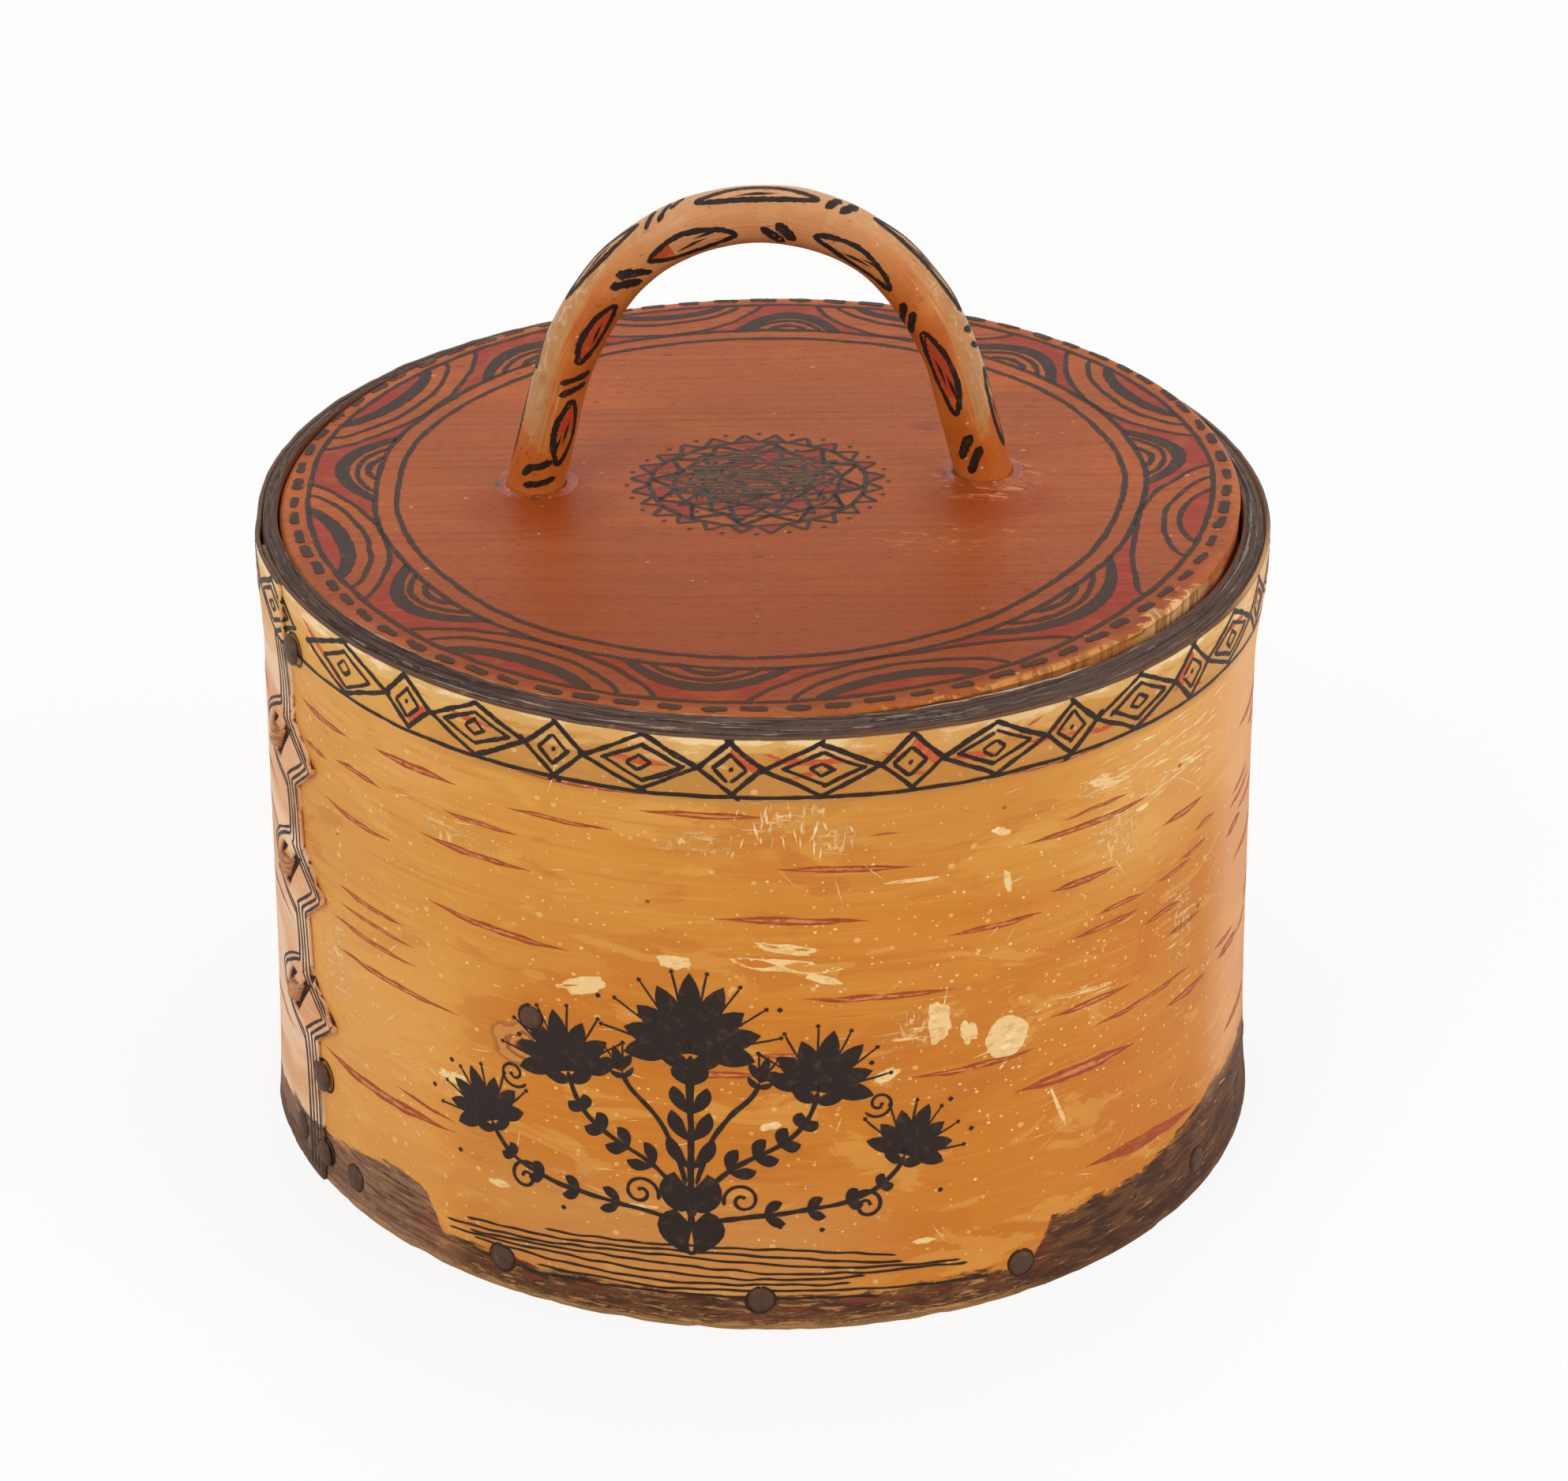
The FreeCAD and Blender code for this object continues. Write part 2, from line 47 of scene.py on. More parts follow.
# Camera: a long lens on a full-frame body, held a little above the lid and square to the front of
# the box, so that the sides of the wall stay nearly upright.
CAMERA_PLACE = Vector((4.8, -798.9, 498.2)) * MM
CAMERA_TARGET = Vector((4.8, 0.0, 70.4)) * MM
CAMERA_ROLL = math.radians(0.7)


def add_object(name, data):
    made = bpy.data.objects.new(name, data)
    bpy.context.collection.objects.link(made)
    return made


def mesh_from(name, bm):
    mesh = bpy.data.meshes.new(name)
    bm.to_mesh(mesh)
    bm.free()
    return mesh


def facing(place, target):
    """Stands at a place and looks at a target."""
    return Matrix.Translation(place) @ (target - place).to_track_quat("-Z", "Y").to_matrix().to_4x4()


camera_data = bpy.data.cameras.new("camera")
camera_data.lens = 107.9
camera_data.sensor_width = 36.0
camera_data.clip_end = 20.0
camera = add_object("camera", camera_data)
camera.matrix_world = facing(CAMERA_PLACE, CAMERA_TARGET) @ Matrix.Rotation(CAMERA_ROLL, 4, "Z")
bpy.context.scene.camera = camera
bpy.context.scene.view_settings.view_transform = "Standard"


# Materials: every surface is a plain ground with coats of colour laid over it one after another,
# as stain, wear, ink and varnish are. Nodes work out where each coat lies.
def paint(red, green, blue):
    """A colour given by its display values from 0 to 255."""
    def linear(value):
        value /= 255.0
        return value / 12.92 if value <= 0.04045 else ((value + 0.055) / 1.055) ** 2.4
    return linear(red), linear(green), linear(blue), 1.0


class Value:
    """A number that a material's nodes work out over a surface."""

    def __init__(self, tree, socket):
        self.tree = tree
        self.socket = socket

    def worked(self, operation, *others):
        node = self.tree.nodes.new("ShaderNodeMath")
        node.operation = operation
        for place, value in zip(node.inputs, (self,) + others):
            if isinstance(value, Value):
                self.tree.links.new(value.socket, place)
            else:
                place.default_value = value
        return Value(self.tree, node.outputs[0])

    def __add__(self, other):
        return self.worked("ADD", other)

    def __sub__(self, other):
        return self.worked("SUBTRACT", other)

    def __mul__(self, other):
        return self.worked("MULTIPLY", other)

    def over(self, low, high):
        """0 below low, 1 above high, and smooth between. With low above high it falls."""
        node = self.tree.nodes.new("ShaderNodeMapRange")
        node.interpolation_type = "SMOOTHSTEP"
        self.tree.links.new(self.socket, node.inputs["Value"])
        node.inputs["From Min"].default_value = min(low, high)
        node.inputs["From Max"].default_value = max(low, high)
        node.inputs["To Min"].default_value = 0.0 if low < high else 1.0
        node.inputs["To Max"].default_value = 1.0 if low < high else 0.0
        return Value(self.tree, node.outputs["Result"])

    def between(self, low, full, fading, gone):
        """It rises from low to full, and falls again from fading to gone."""
        return self.over(low, full).both(self.over(gone, fading))

    def both(self, other):
        return self.worked("MINIMUM", other)

    def either(self, other):
        return self.worked("MAXIMUM", other)

    def size(self):
        return self.worked("ABSOLUTE")

    def root(self):
        return self.worked("SQRT")

    def wave(self):
        return self.worked("SINE")


def oval(x, y, middle, narrow):
    """The square of the distance from a middle, with x and y each made narrower first."""
    side = (x - middle[0]) * narrow[0]
    up = (y - middle[1]) * narrow[1]
    return side * side + up * up


class Finish:
    """A material whose colour, gloss and relief are laid one coat after another."""

    def __init__(self, name, colour, roughness=0.5, gloss=0.5):
        self.material = bpy.data.materials.new(name)
        self.material.use_nodes = True
        self.tree = self.material.node_tree
        self.shader = self.tree.nodes["Principled BSDF"]
        self.colour = paint(*colour)
        self.shader.inputs["Base Color"].default_value = self.colour
        self.shader.inputs["Roughness"].default_value = roughness
        self.shader.inputs["Specular IOR Level"].default_value = gloss

    def place(self, along=None):
        """The place on the piece in millimetres: in space, or along and up a sheet."""
        if along:
            node = self.tree.nodes.new("ShaderNodeUVMap")
            node.uv_map = along
            source = node.outputs["UV"]
        else:
            source = self.tree.nodes.new("ShaderNodeTexCoord").outputs["Object"]
        scale = self.tree.nodes.new("ShaderNodeVectorMath")
        scale.operation = "SCALE"
        scale.inputs["Scale"].default_value = 1.0 / MM
        self.tree.links.new(source, scale.inputs[0])
        return scale.outputs[0]

    def axes(self, place):
        """The place's numbers along X, Y and Z."""
        split = self.tree.nodes.new("ShaderNodeSeparateXYZ")
        self.tree.links.new(place, split.inputs[0])
        return [Value(self.tree, output) for output in split.outputs]

    def stretched(self, place, spacing, shift):
        node = self.tree.nodes.new("ShaderNodeMapping")
        self.tree.links.new(place, node.inputs["Vector"])
        node.inputs["Location"].default_value = shift
        node.inputs["Scale"].default_value = [1.0 / width for width in spacing]
        return node.outputs[0]

    def joined(self, x, y, z=0.0):
        node = self.tree.nodes.new("ShaderNodeCombineXYZ")
        for place, value in zip(node.inputs, (x, y, z)):
            if isinstance(value, Value):
                self.tree.links.new(value.socket, place)
            else:
                place.default_value = value
        return node.outputs[0]

    def clouds(self, place, spacing, detail, rough=0.5, warp=0.0, shift=(0.0, 0.0, 0.0)):
        """Soft noise whose blotches are about as wide as the spacing, from 0 to 1."""
        node = self.tree.nodes.new("ShaderNodeTexNoise")
        self.tree.links.new(self.stretched(place, spacing, shift), node.inputs["Vector"])
        node.inputs["Scale"].default_value = 1.0
        node.inputs["Detail"].default_value = detail
        node.inputs["Roughness"].default_value = rough
        node.inputs["Distortion"].default_value = warp
        return Value(self.tree, node.outputs["Fac"])

    def spots(self, place, spacing, unequal, rim, full, rarity, more=None, shift=(0.0, 0.0, 0.0)):
        """Scattered spots of unequal size, 1 inside full and 0 outside rim. The rarity is the share
        of places that hold none, and more is added to each place's chance."""
        node = self.tree.nodes.new("ShaderNodeTexVoronoi")
        self.tree.links.new(self.stretched(place, spacing, shift), node.inputs["Vector"])
        node.inputs["Scale"].default_value = 1.0
        split = self.tree.nodes.new("ShaderNodeSeparateColor")
        self.tree.links.new(node.outputs["Color"], split.inputs[0])
        chance, growth = [Value(self.tree, output) for output in split.outputs[:2]]
        if more:
            chance = chance + more
        spot = (Value(self.tree, node.outputs["Distance"]) - growth * unequal).over(rim, full)
        return spot.both(chance.over(rarity, rarity + 0.01))

    def coat(self, colour, amount, blend="MIX"):
        """Lays a colour over what is there, by an amount."""
        node = self.tree.nodes.new("ShaderNodeMix")
        node.data_type = "RGBA"
        node.blend_type = blend
        node.clamp_factor = True
        if isinstance(amount, Value):
            self.tree.links.new(amount.socket, node.inputs["Factor"])
        else:
            node.inputs["Factor"].default_value = amount
        below, above = [s for s in node.inputs if s.type == "RGBA"]
        if isinstance(self.colour, bpy.types.NodeSocket):
            self.tree.links.new(self.colour, below)
        else:
            below.default_value = self.colour
        above.default_value = paint(*colour)
        self.colour = next(s for s in node.outputs if s.type == "RGBA")
        self.tree.links.new(self.colour, self.shader.inputs["Base Color"])

    def relief(self, height, depth):
        """Raises the surface where height is high, by a depth in millimetres."""
        node = self.tree.nodes.new("ShaderNodeBump")
        node.inputs["Strength"].default_value = 1.0
        node.inputs["Distance"].default_value = depth * MM
        self.tree.links.new(height.socket, node.inputs["Height"])
        before = self.shader.inputs["Normal"]
        if before.is_linked:
            self.tree.links.new(before.links[0].from_socket, node.inputs["Normal"])
        self.tree.links.new(node.outputs[0], self.shader.inputs["Normal"])

    def dullness(self, value):
        self.tree.links.new(value.socket, self.shader.inputs["Roughness"])


# Studio: a white table, a white room for the varnish to reflect, and three large soft lamps. The
# table's own glow, which only the camera sees, keeps its white even.
for name, place, power, width in (("key_lamp", Vector((-0.9, -1.0, 1.3)), 11.0, 1.0),
                                  ("side_lamp", Vector((1.3, -0.5, 1.0)), 9.0, 1.0),
                                  ("top_lamp", Vector((0.1, 0.7, 1.6)), 9.0, 1.4)):
    lamp = bpy.data.lights.new(name, "AREA")
    lamp.energy = power
    lamp.size = width
    add_object(name, lamp).matrix_world = facing(place, Vector((0.0, 0.0, 0.06)))

room = bpy.data.worlds.new("room")
room.use_nodes = True
room_tree = room.node_tree
rays = room_tree.nodes.new("ShaderNodeLightPath").outputs
straight, mirrored_ray, through = [Value(room_tree, rays[kind])
                                   for kind in ("Is Camera Ray", "Is Glossy Ray", "Is Transmission Ray")]
room_white = straight.either(mirrored_ray).either(through) * 0.45 + 0.55
room_tree.links.new(room_white.socket, room_tree.nodes["Background"].inputs["Strength"])
room_tree.nodes["Background"].inputs["Color"].default_value = (1.0, 1.0, 1.0, 1.0)
bpy.context.scene.world = room

table_bm = bmesh.new()
bmesh.ops.create_grid(table_bm, x_segments=1, y_segments=1, size=6.0)
table = add_object("table", mesh_from("table", table_bm))
table_white = Finish("table_white", (236, 233, 232), roughness=0.6)
table_tree = table_white.tree
table_glow = table_tree.nodes.new("ShaderNodeEmission")
table_glow.inputs["Color"].default_value = (1.0, 0.995, 0.995, 1.0)
table_mix = table_tree.nodes.new("ShaderNodeMixShader")
table_seen = Value(table_tree, table_tree.nodes.new("ShaderNodeLightPath").outputs["Is Camera Ray"]) * 0.86
for source, place in ((table_seen.socket, table_mix.inputs[0]),
                      (table_white.shader.outputs[0], table_mix.inputs[1]),
                      (table_glow.outputs[0], table_mix.inputs[2]),
                      (table_mix.outputs[0], table_tree.nodes["Material Output"].inputs["Surface"])):
    table_tree.links.new(source, place)
table.data.materials.append(table_white.material)


# Outer sheet: one thin sheet of varnished birch bark. It runs once round the box, climbs over its
# own hidden end at the left front and lies on it as a flap with three arrow points.
BOX_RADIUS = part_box("outer_bark_sheet")[1].y / MM
WALL_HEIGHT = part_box("outer_bark_sheet")[1].z / MM
ROUND = 2.0 * math.pi * BOX_RADIUS
MM_PER_DEGREE = BOX_RADIUS * math.radians(1.0)
SHEET_THICKNESS = 1.2
SEAM_ACROSS = math.radians(-59.8) * BOX_RADIUS
SEAM_LEAN = math.tan(math.radians(5.4))
OVERLAP = 28.0
HIDDEN_END = SEAM_ACROSS - OVERLAP
RAMP = 12.0
FLAP_LIFT = 0.85
POINT_HEIGHTS = [36.0, 62.0, 88.0]
POINT_REACH = 9.0
POINT_HALF = 6.6
SLIT_INSETS = (5.4, 11.6)
SLIT_SIZE = (3.2, 9.0)
SLIT_SLANT = math.tan(math.radians(35.0))
WAIST_DEPTH, WAIST_FROM, WAIST_TO = 1.25, 97.0, 117.0
FOOT_FLARE, FLARE_TO_RIGHT, FLARE_HEIGHT = 0.7, 0.6, 14.0
FOOT_DRIFT, TOP_DRIFT = 1.3, 0.6


def rise(value, low, high):
    """0 below low, 1 above high, and smooth between."""
    share = min(max((value - low) / (high - low), 0.0), 1.0)
    return share * share * (3.0 - 2.0 * share)


def noise_round(turn, scale, level):
    """Noise that runs round the box and meets itself."""
    return noise.noise(Vector((math.sin(turn) * scale, math.cos(turn) * scale, level)))


def wall_point(across, height, lift):
    """A point on the wall, across from the middle of the front along the curve and up from the
    floor, in millimetres. The wall has a slight waist, flares at its foot and isn't quite round."""
    turn = across / BOX_RADIUS
    waist = -WAIST_DEPTH * (max(height, 0.0) / 95.0) ** 0.6 * (1.0 - 0.9 * rise(height, WAIST_FROM, WAIST_TO))
    flare = FOOT_FLARE + FLARE_TO_RIGHT * max(0.0, math.sin(turn + 0.3))
    flare *= math.exp(-max(height, 0.0) / FLARE_HEIGHT)
    unround = 0.22 * math.sin(2.0 * turn + 0.6) + 0.15 * math.sin(5.0 * turn + height / 40.0)
    radius = BOX_RADIUS + waist + flare + unround * rise(height, -20.0, 60.0) * 0.6 - 0.12 + lift
    drift = FOOT_DRIFT * (1.0 - height / WALL_HEIGHT) + TOP_DRIFT * rise(height, 90.0, 118.0)
    return Vector((radius * math.sin(turn) + drift, -radius * math.cos(turn), height)) * MM


def seam_edge(height):
    """How far across the flap's free edge is, without its points."""
    return SEAM_ACROSS - height * SEAM_LEAN


def flap_edge(height):
    """How far across the flap's free edge is, with its points."""
    edge = seam_edge(height)
    for middle in POINT_HEIGHTS:
        edge += POINT_REACH * max(0.0, 1.0 - abs(height - middle) / POINT_HALF)
    return edge


def flap_lift(across, height):
    """How far the outermost layer stands off the wall near the seam."""
    root = HIDDEN_END - 2.0 * SHEET_THICKNESS
    if not root - RAMP < across <= flap_edge(height):
        return 0.0
    past_edge = across - seam_edge(height)
    curl = 0.7 * max(0.0, (past_edge - 3.0) / (POINT_REACH - 3.0)) ** 2
    hump = 0.0
    for middle in POINT_HEIGHTS:
        along = (past_edge + 9.0) / 9.0
        up = (height - middle) / 9.0
        hump += 0.9 * math.exp(-(along * along + up * up) * 1.6)
    return FLAP_LIFT * rise(across, root - RAMP, root) + curl + hump


def new_piece(name, bm, finish, body, slot, *nodes):
    """Makes a finished piece that rides on a body and may stand for nodes of the frame."""
    piece = add_object(name, mesh_from(name, bm))
    piece.data.materials.append(finish.material)
    piece.data.shade_smooth()
    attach(piece, body)
    if nodes:
        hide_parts(*nodes)
    return piece


def thicken(piece, thickness):
    """Gives a sheet a thickness in millimetres behind its face."""
    thick = piece.modifiers.new("thickness", "SOLIDIFY")
    thick.thickness = thickness * MM
    thick.offset = -1.0


def cut_window(bm, corners):
    """Cuts a slit with straight sides out of a flat sheet."""
    middle = sum((Vector(c) for c in corners), Vector((0, 0))) / len(corners)
    reach = max((Vector(c) - middle).length for c in corners) + 4.0

    def close_by():
        faces = [f for f in bm.faces if (f.calc_center_median().xy - middle).length < reach]
        edges = {e for f in faces for e in f.edges}
        return faces + list(edges) + list({v for e in edges for v in e.verts})

    sides = [(Vector(a), Vector(b)) for a, b in zip(corners, corners[1:] + corners[:1])]
    for start, finish in sides:
        across_side = (finish - start).orthogonal().to_3d()
        bmesh.ops.bisect_plane(bm, geom=close_by(), dist=1e-5, plane_co=start.to_3d(),
                               plane_no=across_side)
    inside = []
    for face in bm.faces:
        spot = face.calc_center_median().xy
        if (spot - middle).length < reach:
            if all((finish - start).cross(spot - start) > 0.0 for start, finish in sides):
                inside.append(face)
    bmesh.ops.delete(bm, geom=inside, context="FACES")


def slit_corners(across, height):
    """A slanted slit, its corners in order round it."""
    half_width = 0.5 * SLIT_SIZE[0]
    half_height = 0.5 * SLIT_SIZE[1]
    slant = half_height * SLIT_SLANT
    return [(across - half_width - slant, height - half_height),
            (across + half_width - slant, height - half_height),
            (across + half_width + slant, height + half_height),
            (across - half_width + slant, height + half_height)]


flap_root = HIDDEN_END + ROUND - 2.0 * SHEET_THICKNESS - RAMP
plain_columns = 290
flap_columns = 40
all_columns = plain_columns + flap_columns
corner_heights = [m + s * POINT_HALF for m in POINT_HEIGHTS for s in (-1, 0, 1)]
row_heights = sorted(set([WALL_HEIGHT * i / 112.0 for i in range(113)] + corner_heights))
sheet_bm = bmesh.new()
bmesh.ops.create_grid(sheet_bm, x_segments=all_columns, y_segments=len(row_heights) - 1, size=0.5)
for vert in sheet_bm.verts:
    column = round((vert.co.x + 0.5) * all_columns)
    height = row_heights[round((vert.co.y + 0.5) * (len(row_heights) - 1))]
    if column <= plain_columns:
        across = HIDDEN_END + (flap_root - HIDDEN_END) * column / plain_columns
    else:
        across = flap_root + (flap_edge(height) + ROUND - flap_root) * (column - plain_columns) / flap_columns
    vert.co = (across, height, 0.0)
for middle in POINT_HEIGHTS:
    for inset in SLIT_INSETS:
        slit_across = seam_edge(middle) - inset
        cut_window(sheet_bm, slit_corners(slit_across, middle))
        cut_window(sheet_bm, slit_corners(slit_across + ROUND, middle))
run = sheet_bm.loops.layers.uv.new("run")
for face in sheet_bm.faces:
    for loop in face.loops:
        loop[run].uv = loop.vert.co.xy * MM
for vert in sheet_bm.verts:
    across, height = vert.co.xy
    second_lap = across > HIDDEN_END + 0.5 * ROUND
    lift = flap_lift(across - ROUND, height) if second_lap else 0.0
    ragged = noise.noise(Vector((across / 7.0, 3.0, 0.0)))
    ragged += 0.6 * noise.noise(Vector((across / 1.7, 8.0, 0.0)))
    if height > WALL_HEIGHT - 0.5:
        height += 0.28 * ragged - 0.55
    if height < 0.5:
        height += max(0.0, 0.55 * ragged)
    vert.co = wall_point(across, height, lift)

bark = Finish("varnished_bark", (214, 148, 64), roughness=0.46, gloss=0.14)
sheet_place = bark.place("run")
sheet_u, sheet_v, _ = bark.axes(sheet_place)
broad = bark.clouds(sheet_place, (80.0, 30.0, 1.0), detail=5.0, rough=0.5, warp=0.5)
banks = bark.clouds(sheet_place, (46.0, 15.0, 1.0), detail=6.0, rough=0.55, warp=0.7, shift=(3.0, 1.0, 0.0))
grain = bark.clouds(sheet_place, (40.0, 1.3, 1.0), detail=5.0, rough=0.65)
fibres = bark.clouds(sheet_place, (10.0, 0.45, 1.0), detail=4.0, rough=0.65)
deeper = sheet_v.over(104.0, 44.0) * 0.34 + sheet_u.between(-72.0, -30.0, 330.0, 400.0) * 0.3 + broad
bark.coat((202, 122, 36), deeper.over(0.72, 1.1) * 0.85)
bark.coat((224, 164, 88), (deeper + banks).over(1.04, 0.84) * 0.6)
bark.coat((194, 114, 40), (banks + deeper * 0.3).over(0.8, 0.84) * 0.44)
islands = bark.clouds(sheet_place, (26.0, 10.0, 1.0), detail=7.0, rough=0.62, warp=0.9, shift=(7.0, 2.0, 0.0))
bark.coat((226, 168, 84), islands.over(0.56, 0.6) * 0.42)
bark.coat((186, 104, 40), islands.over(0.4, 0.35) * 0.36)
bark.coat((190, 110, 42), grain.over(0.52, 0.72) * 0.42)
bark.coat((230, 174, 100), grain.over(0.46, 0.26) * 0.35)
bark.coat((176, 98, 36), fibres.over(0.58, 0.8) * 0.3)
bark.coat((238, 188, 116), fibres.over(0.4, 0.22) * 0.22)
bark.coat((232, 168, 88), sheet_u.over(-52.0, -68.0).both(sheet_v.over(76.0, 50.0)) * 0.5)
bark.coat((212, 158, 98), sheet_u.between(-66.0, -40.0, 6.0, 34.0).both(sheet_v.over(36.0, 18.0)) * 0.4)
bark.coat((234, 178, 108), sheet_u.between(56.0, 84.0, 110.0, 150.0).both(sheet_v.over(74.0, 96.0)) * 0.5)
flap_cream = sheet_u.over(flap_root + 6.0, flap_root + 16.0)
bark.coat((228, 174, 132), (flap_cream * 0.8 + grain - 0.5).over(0.25, 0.75) * 0.8)
bark.coat((242, 206, 172), flap_cream.both(banks.over(0.45, 0.58)) * 0.8)
bark.coat((206, 134, 80), flap_cream.both((banks + fibres * 0.4).over(0.64, 0.54)) * 0.6)
rim_blotch = bark.clouds(sheet_place, (18.0, 5.0, 1.0), detail=6.0, rough=0.65, shift=(4.0, 2.0, 0.0))
rim_bare = sheet_v.over(WALL_HEIGHT - 11.0, WALL_HEIGHT - 1.0) * 0.42 + rim_blotch
bark.coat((222, 166, 84), sheet_v.over(104.0, 113.0) * 0.6)
beside_flap = flap_root - 20.0
band_tan = sheet_v.over(107.0, 109.0).both(sheet_u.between(-74.0, -46.0, beside_flap, flap_root))
bark.coat((192, 134, 68), band_tan.both((rim_blotch + band_tan - 0.5).over(0.84, 0.98) * 0.4 + 0.5))
bark.coat((232, 188, 120), rim_bare.over(0.74, 0.84) * 0.6)
bark.coat((246, 220, 172), rim_bare.over(0.9, 0.98) * 0.8)
raw_edge = sheet_v + (grain - 0.5) * 1.6 + (banks - 0.5) * 1.6
bark.coat((92, 66, 48), raw_edge.over(WALL_HEIGHT - 1.0, WALL_HEIGHT - 0.4) * 0.9)

scraped = bark.clouds(sheet_place, (9.0, 1.4, 1.0), detail=6.0, rough=0.72, warp=1.0, shift=(9.0, 5.0, 0.0))
crackle = bark.clouds(sheet_place, (1.6, 4.4, 1.0), detail=6.0, rough=0.72, warp=1.6, shift=(1.0, 7.0, 0.0))
worn_patches = [
    (4.0, 105.0, 16.0, 7.0), (14.0, 101.0, 9.0, 5.0), (66.0, 101.0, 12.0, 5.0), (72.0, 88.0, 10.0, 12.0),
    (92.0, 62.0, 8.0, 16.0), (30.0, 61.0, 14.0, 7.0), (-58.0, 92.0, 18.0, 5.0), (-92.0, 50.0, 12.0, 20.0),
    (-60.0, 40.0, 10.0, 5.0), (-10.0, 100.0, 14.0, 5.0), (200.0, 92.0, 26.0, 9.0), (262.0, 52.0, 22.0, 12.0),
    (330.0, 96.0, 26.0, 9.0), (400.0, 44.0, 24.0, 12.0), (150.0, 60.0, 18.0, 10.0),
]
worn = None
for across, height, wide, tall in worn_patches:
    spread = oval(sheet_u, sheet_v, (across, height), (1.0 / wide, 1.0 / tall)).over(1.0, 0.0)
    worn = spread if worn is None else worn.either(spread)
flaked = scraped.either(crackle) + worn * 0.24
bark.coat((238, 186, 124), flaked.over(0.76, 0.82) * 0.7)
bark.coat((250, 218, 172), flaked.over(0.84, 0.9) * 0.8)

specks = bark.spots(sheet_place, (3.6, 3.0, 1.0), 0.1, 0.12, 0.06, 0.7)
pinholes = bark.spots(sheet_place, (1.5, 1.2, 1.0), 0.1, 0.15, 0.08, 0.74, more=(broad - 0.5) * 0.6,
                      shift=(6.0, 2.0, 0.0))
flecks = bark.spots(sheet_place, (9.0, 7.0, 1.0), 0.04, 0.05, 0.02, 0.8, shift=(3.0, 3.0, 0.0))
bark.coat((238, 196, 130), specks * 0.6)
bark.coat((244, 206, 144), pinholes * 0.6)
bark.coat((120, 62, 30), flecks * 0.8)

# The knot that the knot tack stands beside.
knot_warp = bark.clouds(sheet_place, (6.0, 5.0, 1.0), detail=3.0, warp=1.0)
knot = oval(sheet_u, sheet_v, (-43.8, 52.8), (1.0 / 8.0, 1.0 / 5.6)).root() + (knot_warp - 0.5) * 0.7
knot_rings = (knot * 17.0).wave()
bark.coat((204, 138, 76), knot.over(1.0, 0.7) * 0.7)
bark.coat((134, 72, 38), knot_rings.over(0.1, 0.8).both(knot.over(1.0, 0.7)) * 0.75)
bark.coat((96, 48, 24), knot.over(0.3, 0.16))

# The dark stain round the foot, deep at the two sides and a thin worn strip along the front.
stain_edge = bark.clouds(sheet_place, (9.0, 2.2, 1.0), detail=7.0, rough=0.7, warp=0.6, shift=(2.0, 9.0, 0.0))
left_rise = sheet_u.over(-62.0, -69.0) * 8.0 + sheet_u.over(-76.0, -100.0) * -4.4
right_rise = sheet_u.over(53.0, 58.0) * 7.0 + sheet_u.over(78.0, 112.0) * 5.5
back_fall = sheet_u.over(150.0, 190.0) * -11.0 + sheet_u.over(470.0, 497.0) * 3.0
stain_top = left_rise + right_rise + back_fall + 6.6 + (stain_edge - 0.5) * 6.0
stain = (sheet_v - stain_top).over(0.45, -0.55)
wear = bark.clouds(sheet_place, (7.0, 0.9, 1.0), detail=7.0, rough=0.75, warp=0.8, shift=(6.0, 1.0, 0.0))
thin_front = sheet_u.between(-74.0, -60.0, 50.0, 62.0)
bark.coat((88, 58, 42), stain * 0.92)
bark.coat((56, 36, 28), stain_edge.over(0.42, 0.58).both(stain) * 0.8)
left_faded = sheet_u.over(-56.0, -66.0).either(sheet_u.over(440.0, 460.0))
left_fading = (wear * 0.6 + grain * 0.4).over(0.4, 0.56).both(stain).both(left_faded)
bark.coat((158, 120, 94), left_fading * 0.74)
bark.coat((150, 54, 36), (wear + thin_front * 0.05).over(0.5, 0.44).both(stain).both(thin_front) * 0.7)
bark.coat((186, 136, 82), (wear + thin_front * 0.04).over(0.58, 0.64).both(stain) * 0.85)
foot_wear = (sheet_v + (wear - 0.5) * 9.0).over(1.6, 0.2)
bark.coat((196, 150, 100), foot_wear * 0.8)
bark.coat((194, 120, 44), sheet_u.between(8.0, 20.0, 46.0, 60.0).both(sheet_v.over(94.0, 100.0)) * 0.3)
bark.coat((88, 60, 48), sheet_v.over(WALL_HEIGHT - 1.0, WALL_HEIGHT - 0.4) * 0.8)
bark.coat((66, 40, 32), sheet_v.over(5.0, 1.0).both(sheet_u.over(40.0, 60.0)) * 0.7)
bark.coat((255, 252, 240), sheet_u.between(-84.0, -50.0, beside_flap, flap_root), "MULTIPLY")
# Paler up the wall's right side, towards its outline: painted sheen of the varnish.
painted_side_sheen = sheet_u.between(98.0, 116.0, 124.0, 150.0)
bark.coat((232, 176, 124), painted_side_sheen.both(sheet_v.over(14.0, 24.0)) * 0.5)
bark.relief(fibres + grain * 0.8, 0.10)
bark.relief(stain * wear, 0.12)
bark.relief(flaked.over(0.76, 0.82), -0.04)
bark.dullness(broad * 0.14 + 0.4 + stain * 0.16)

thicken(new_piece("bark_sheet", sheet_bm, bark, "box", "bark_sheet", "outer_bark_sheet"), 0.8)


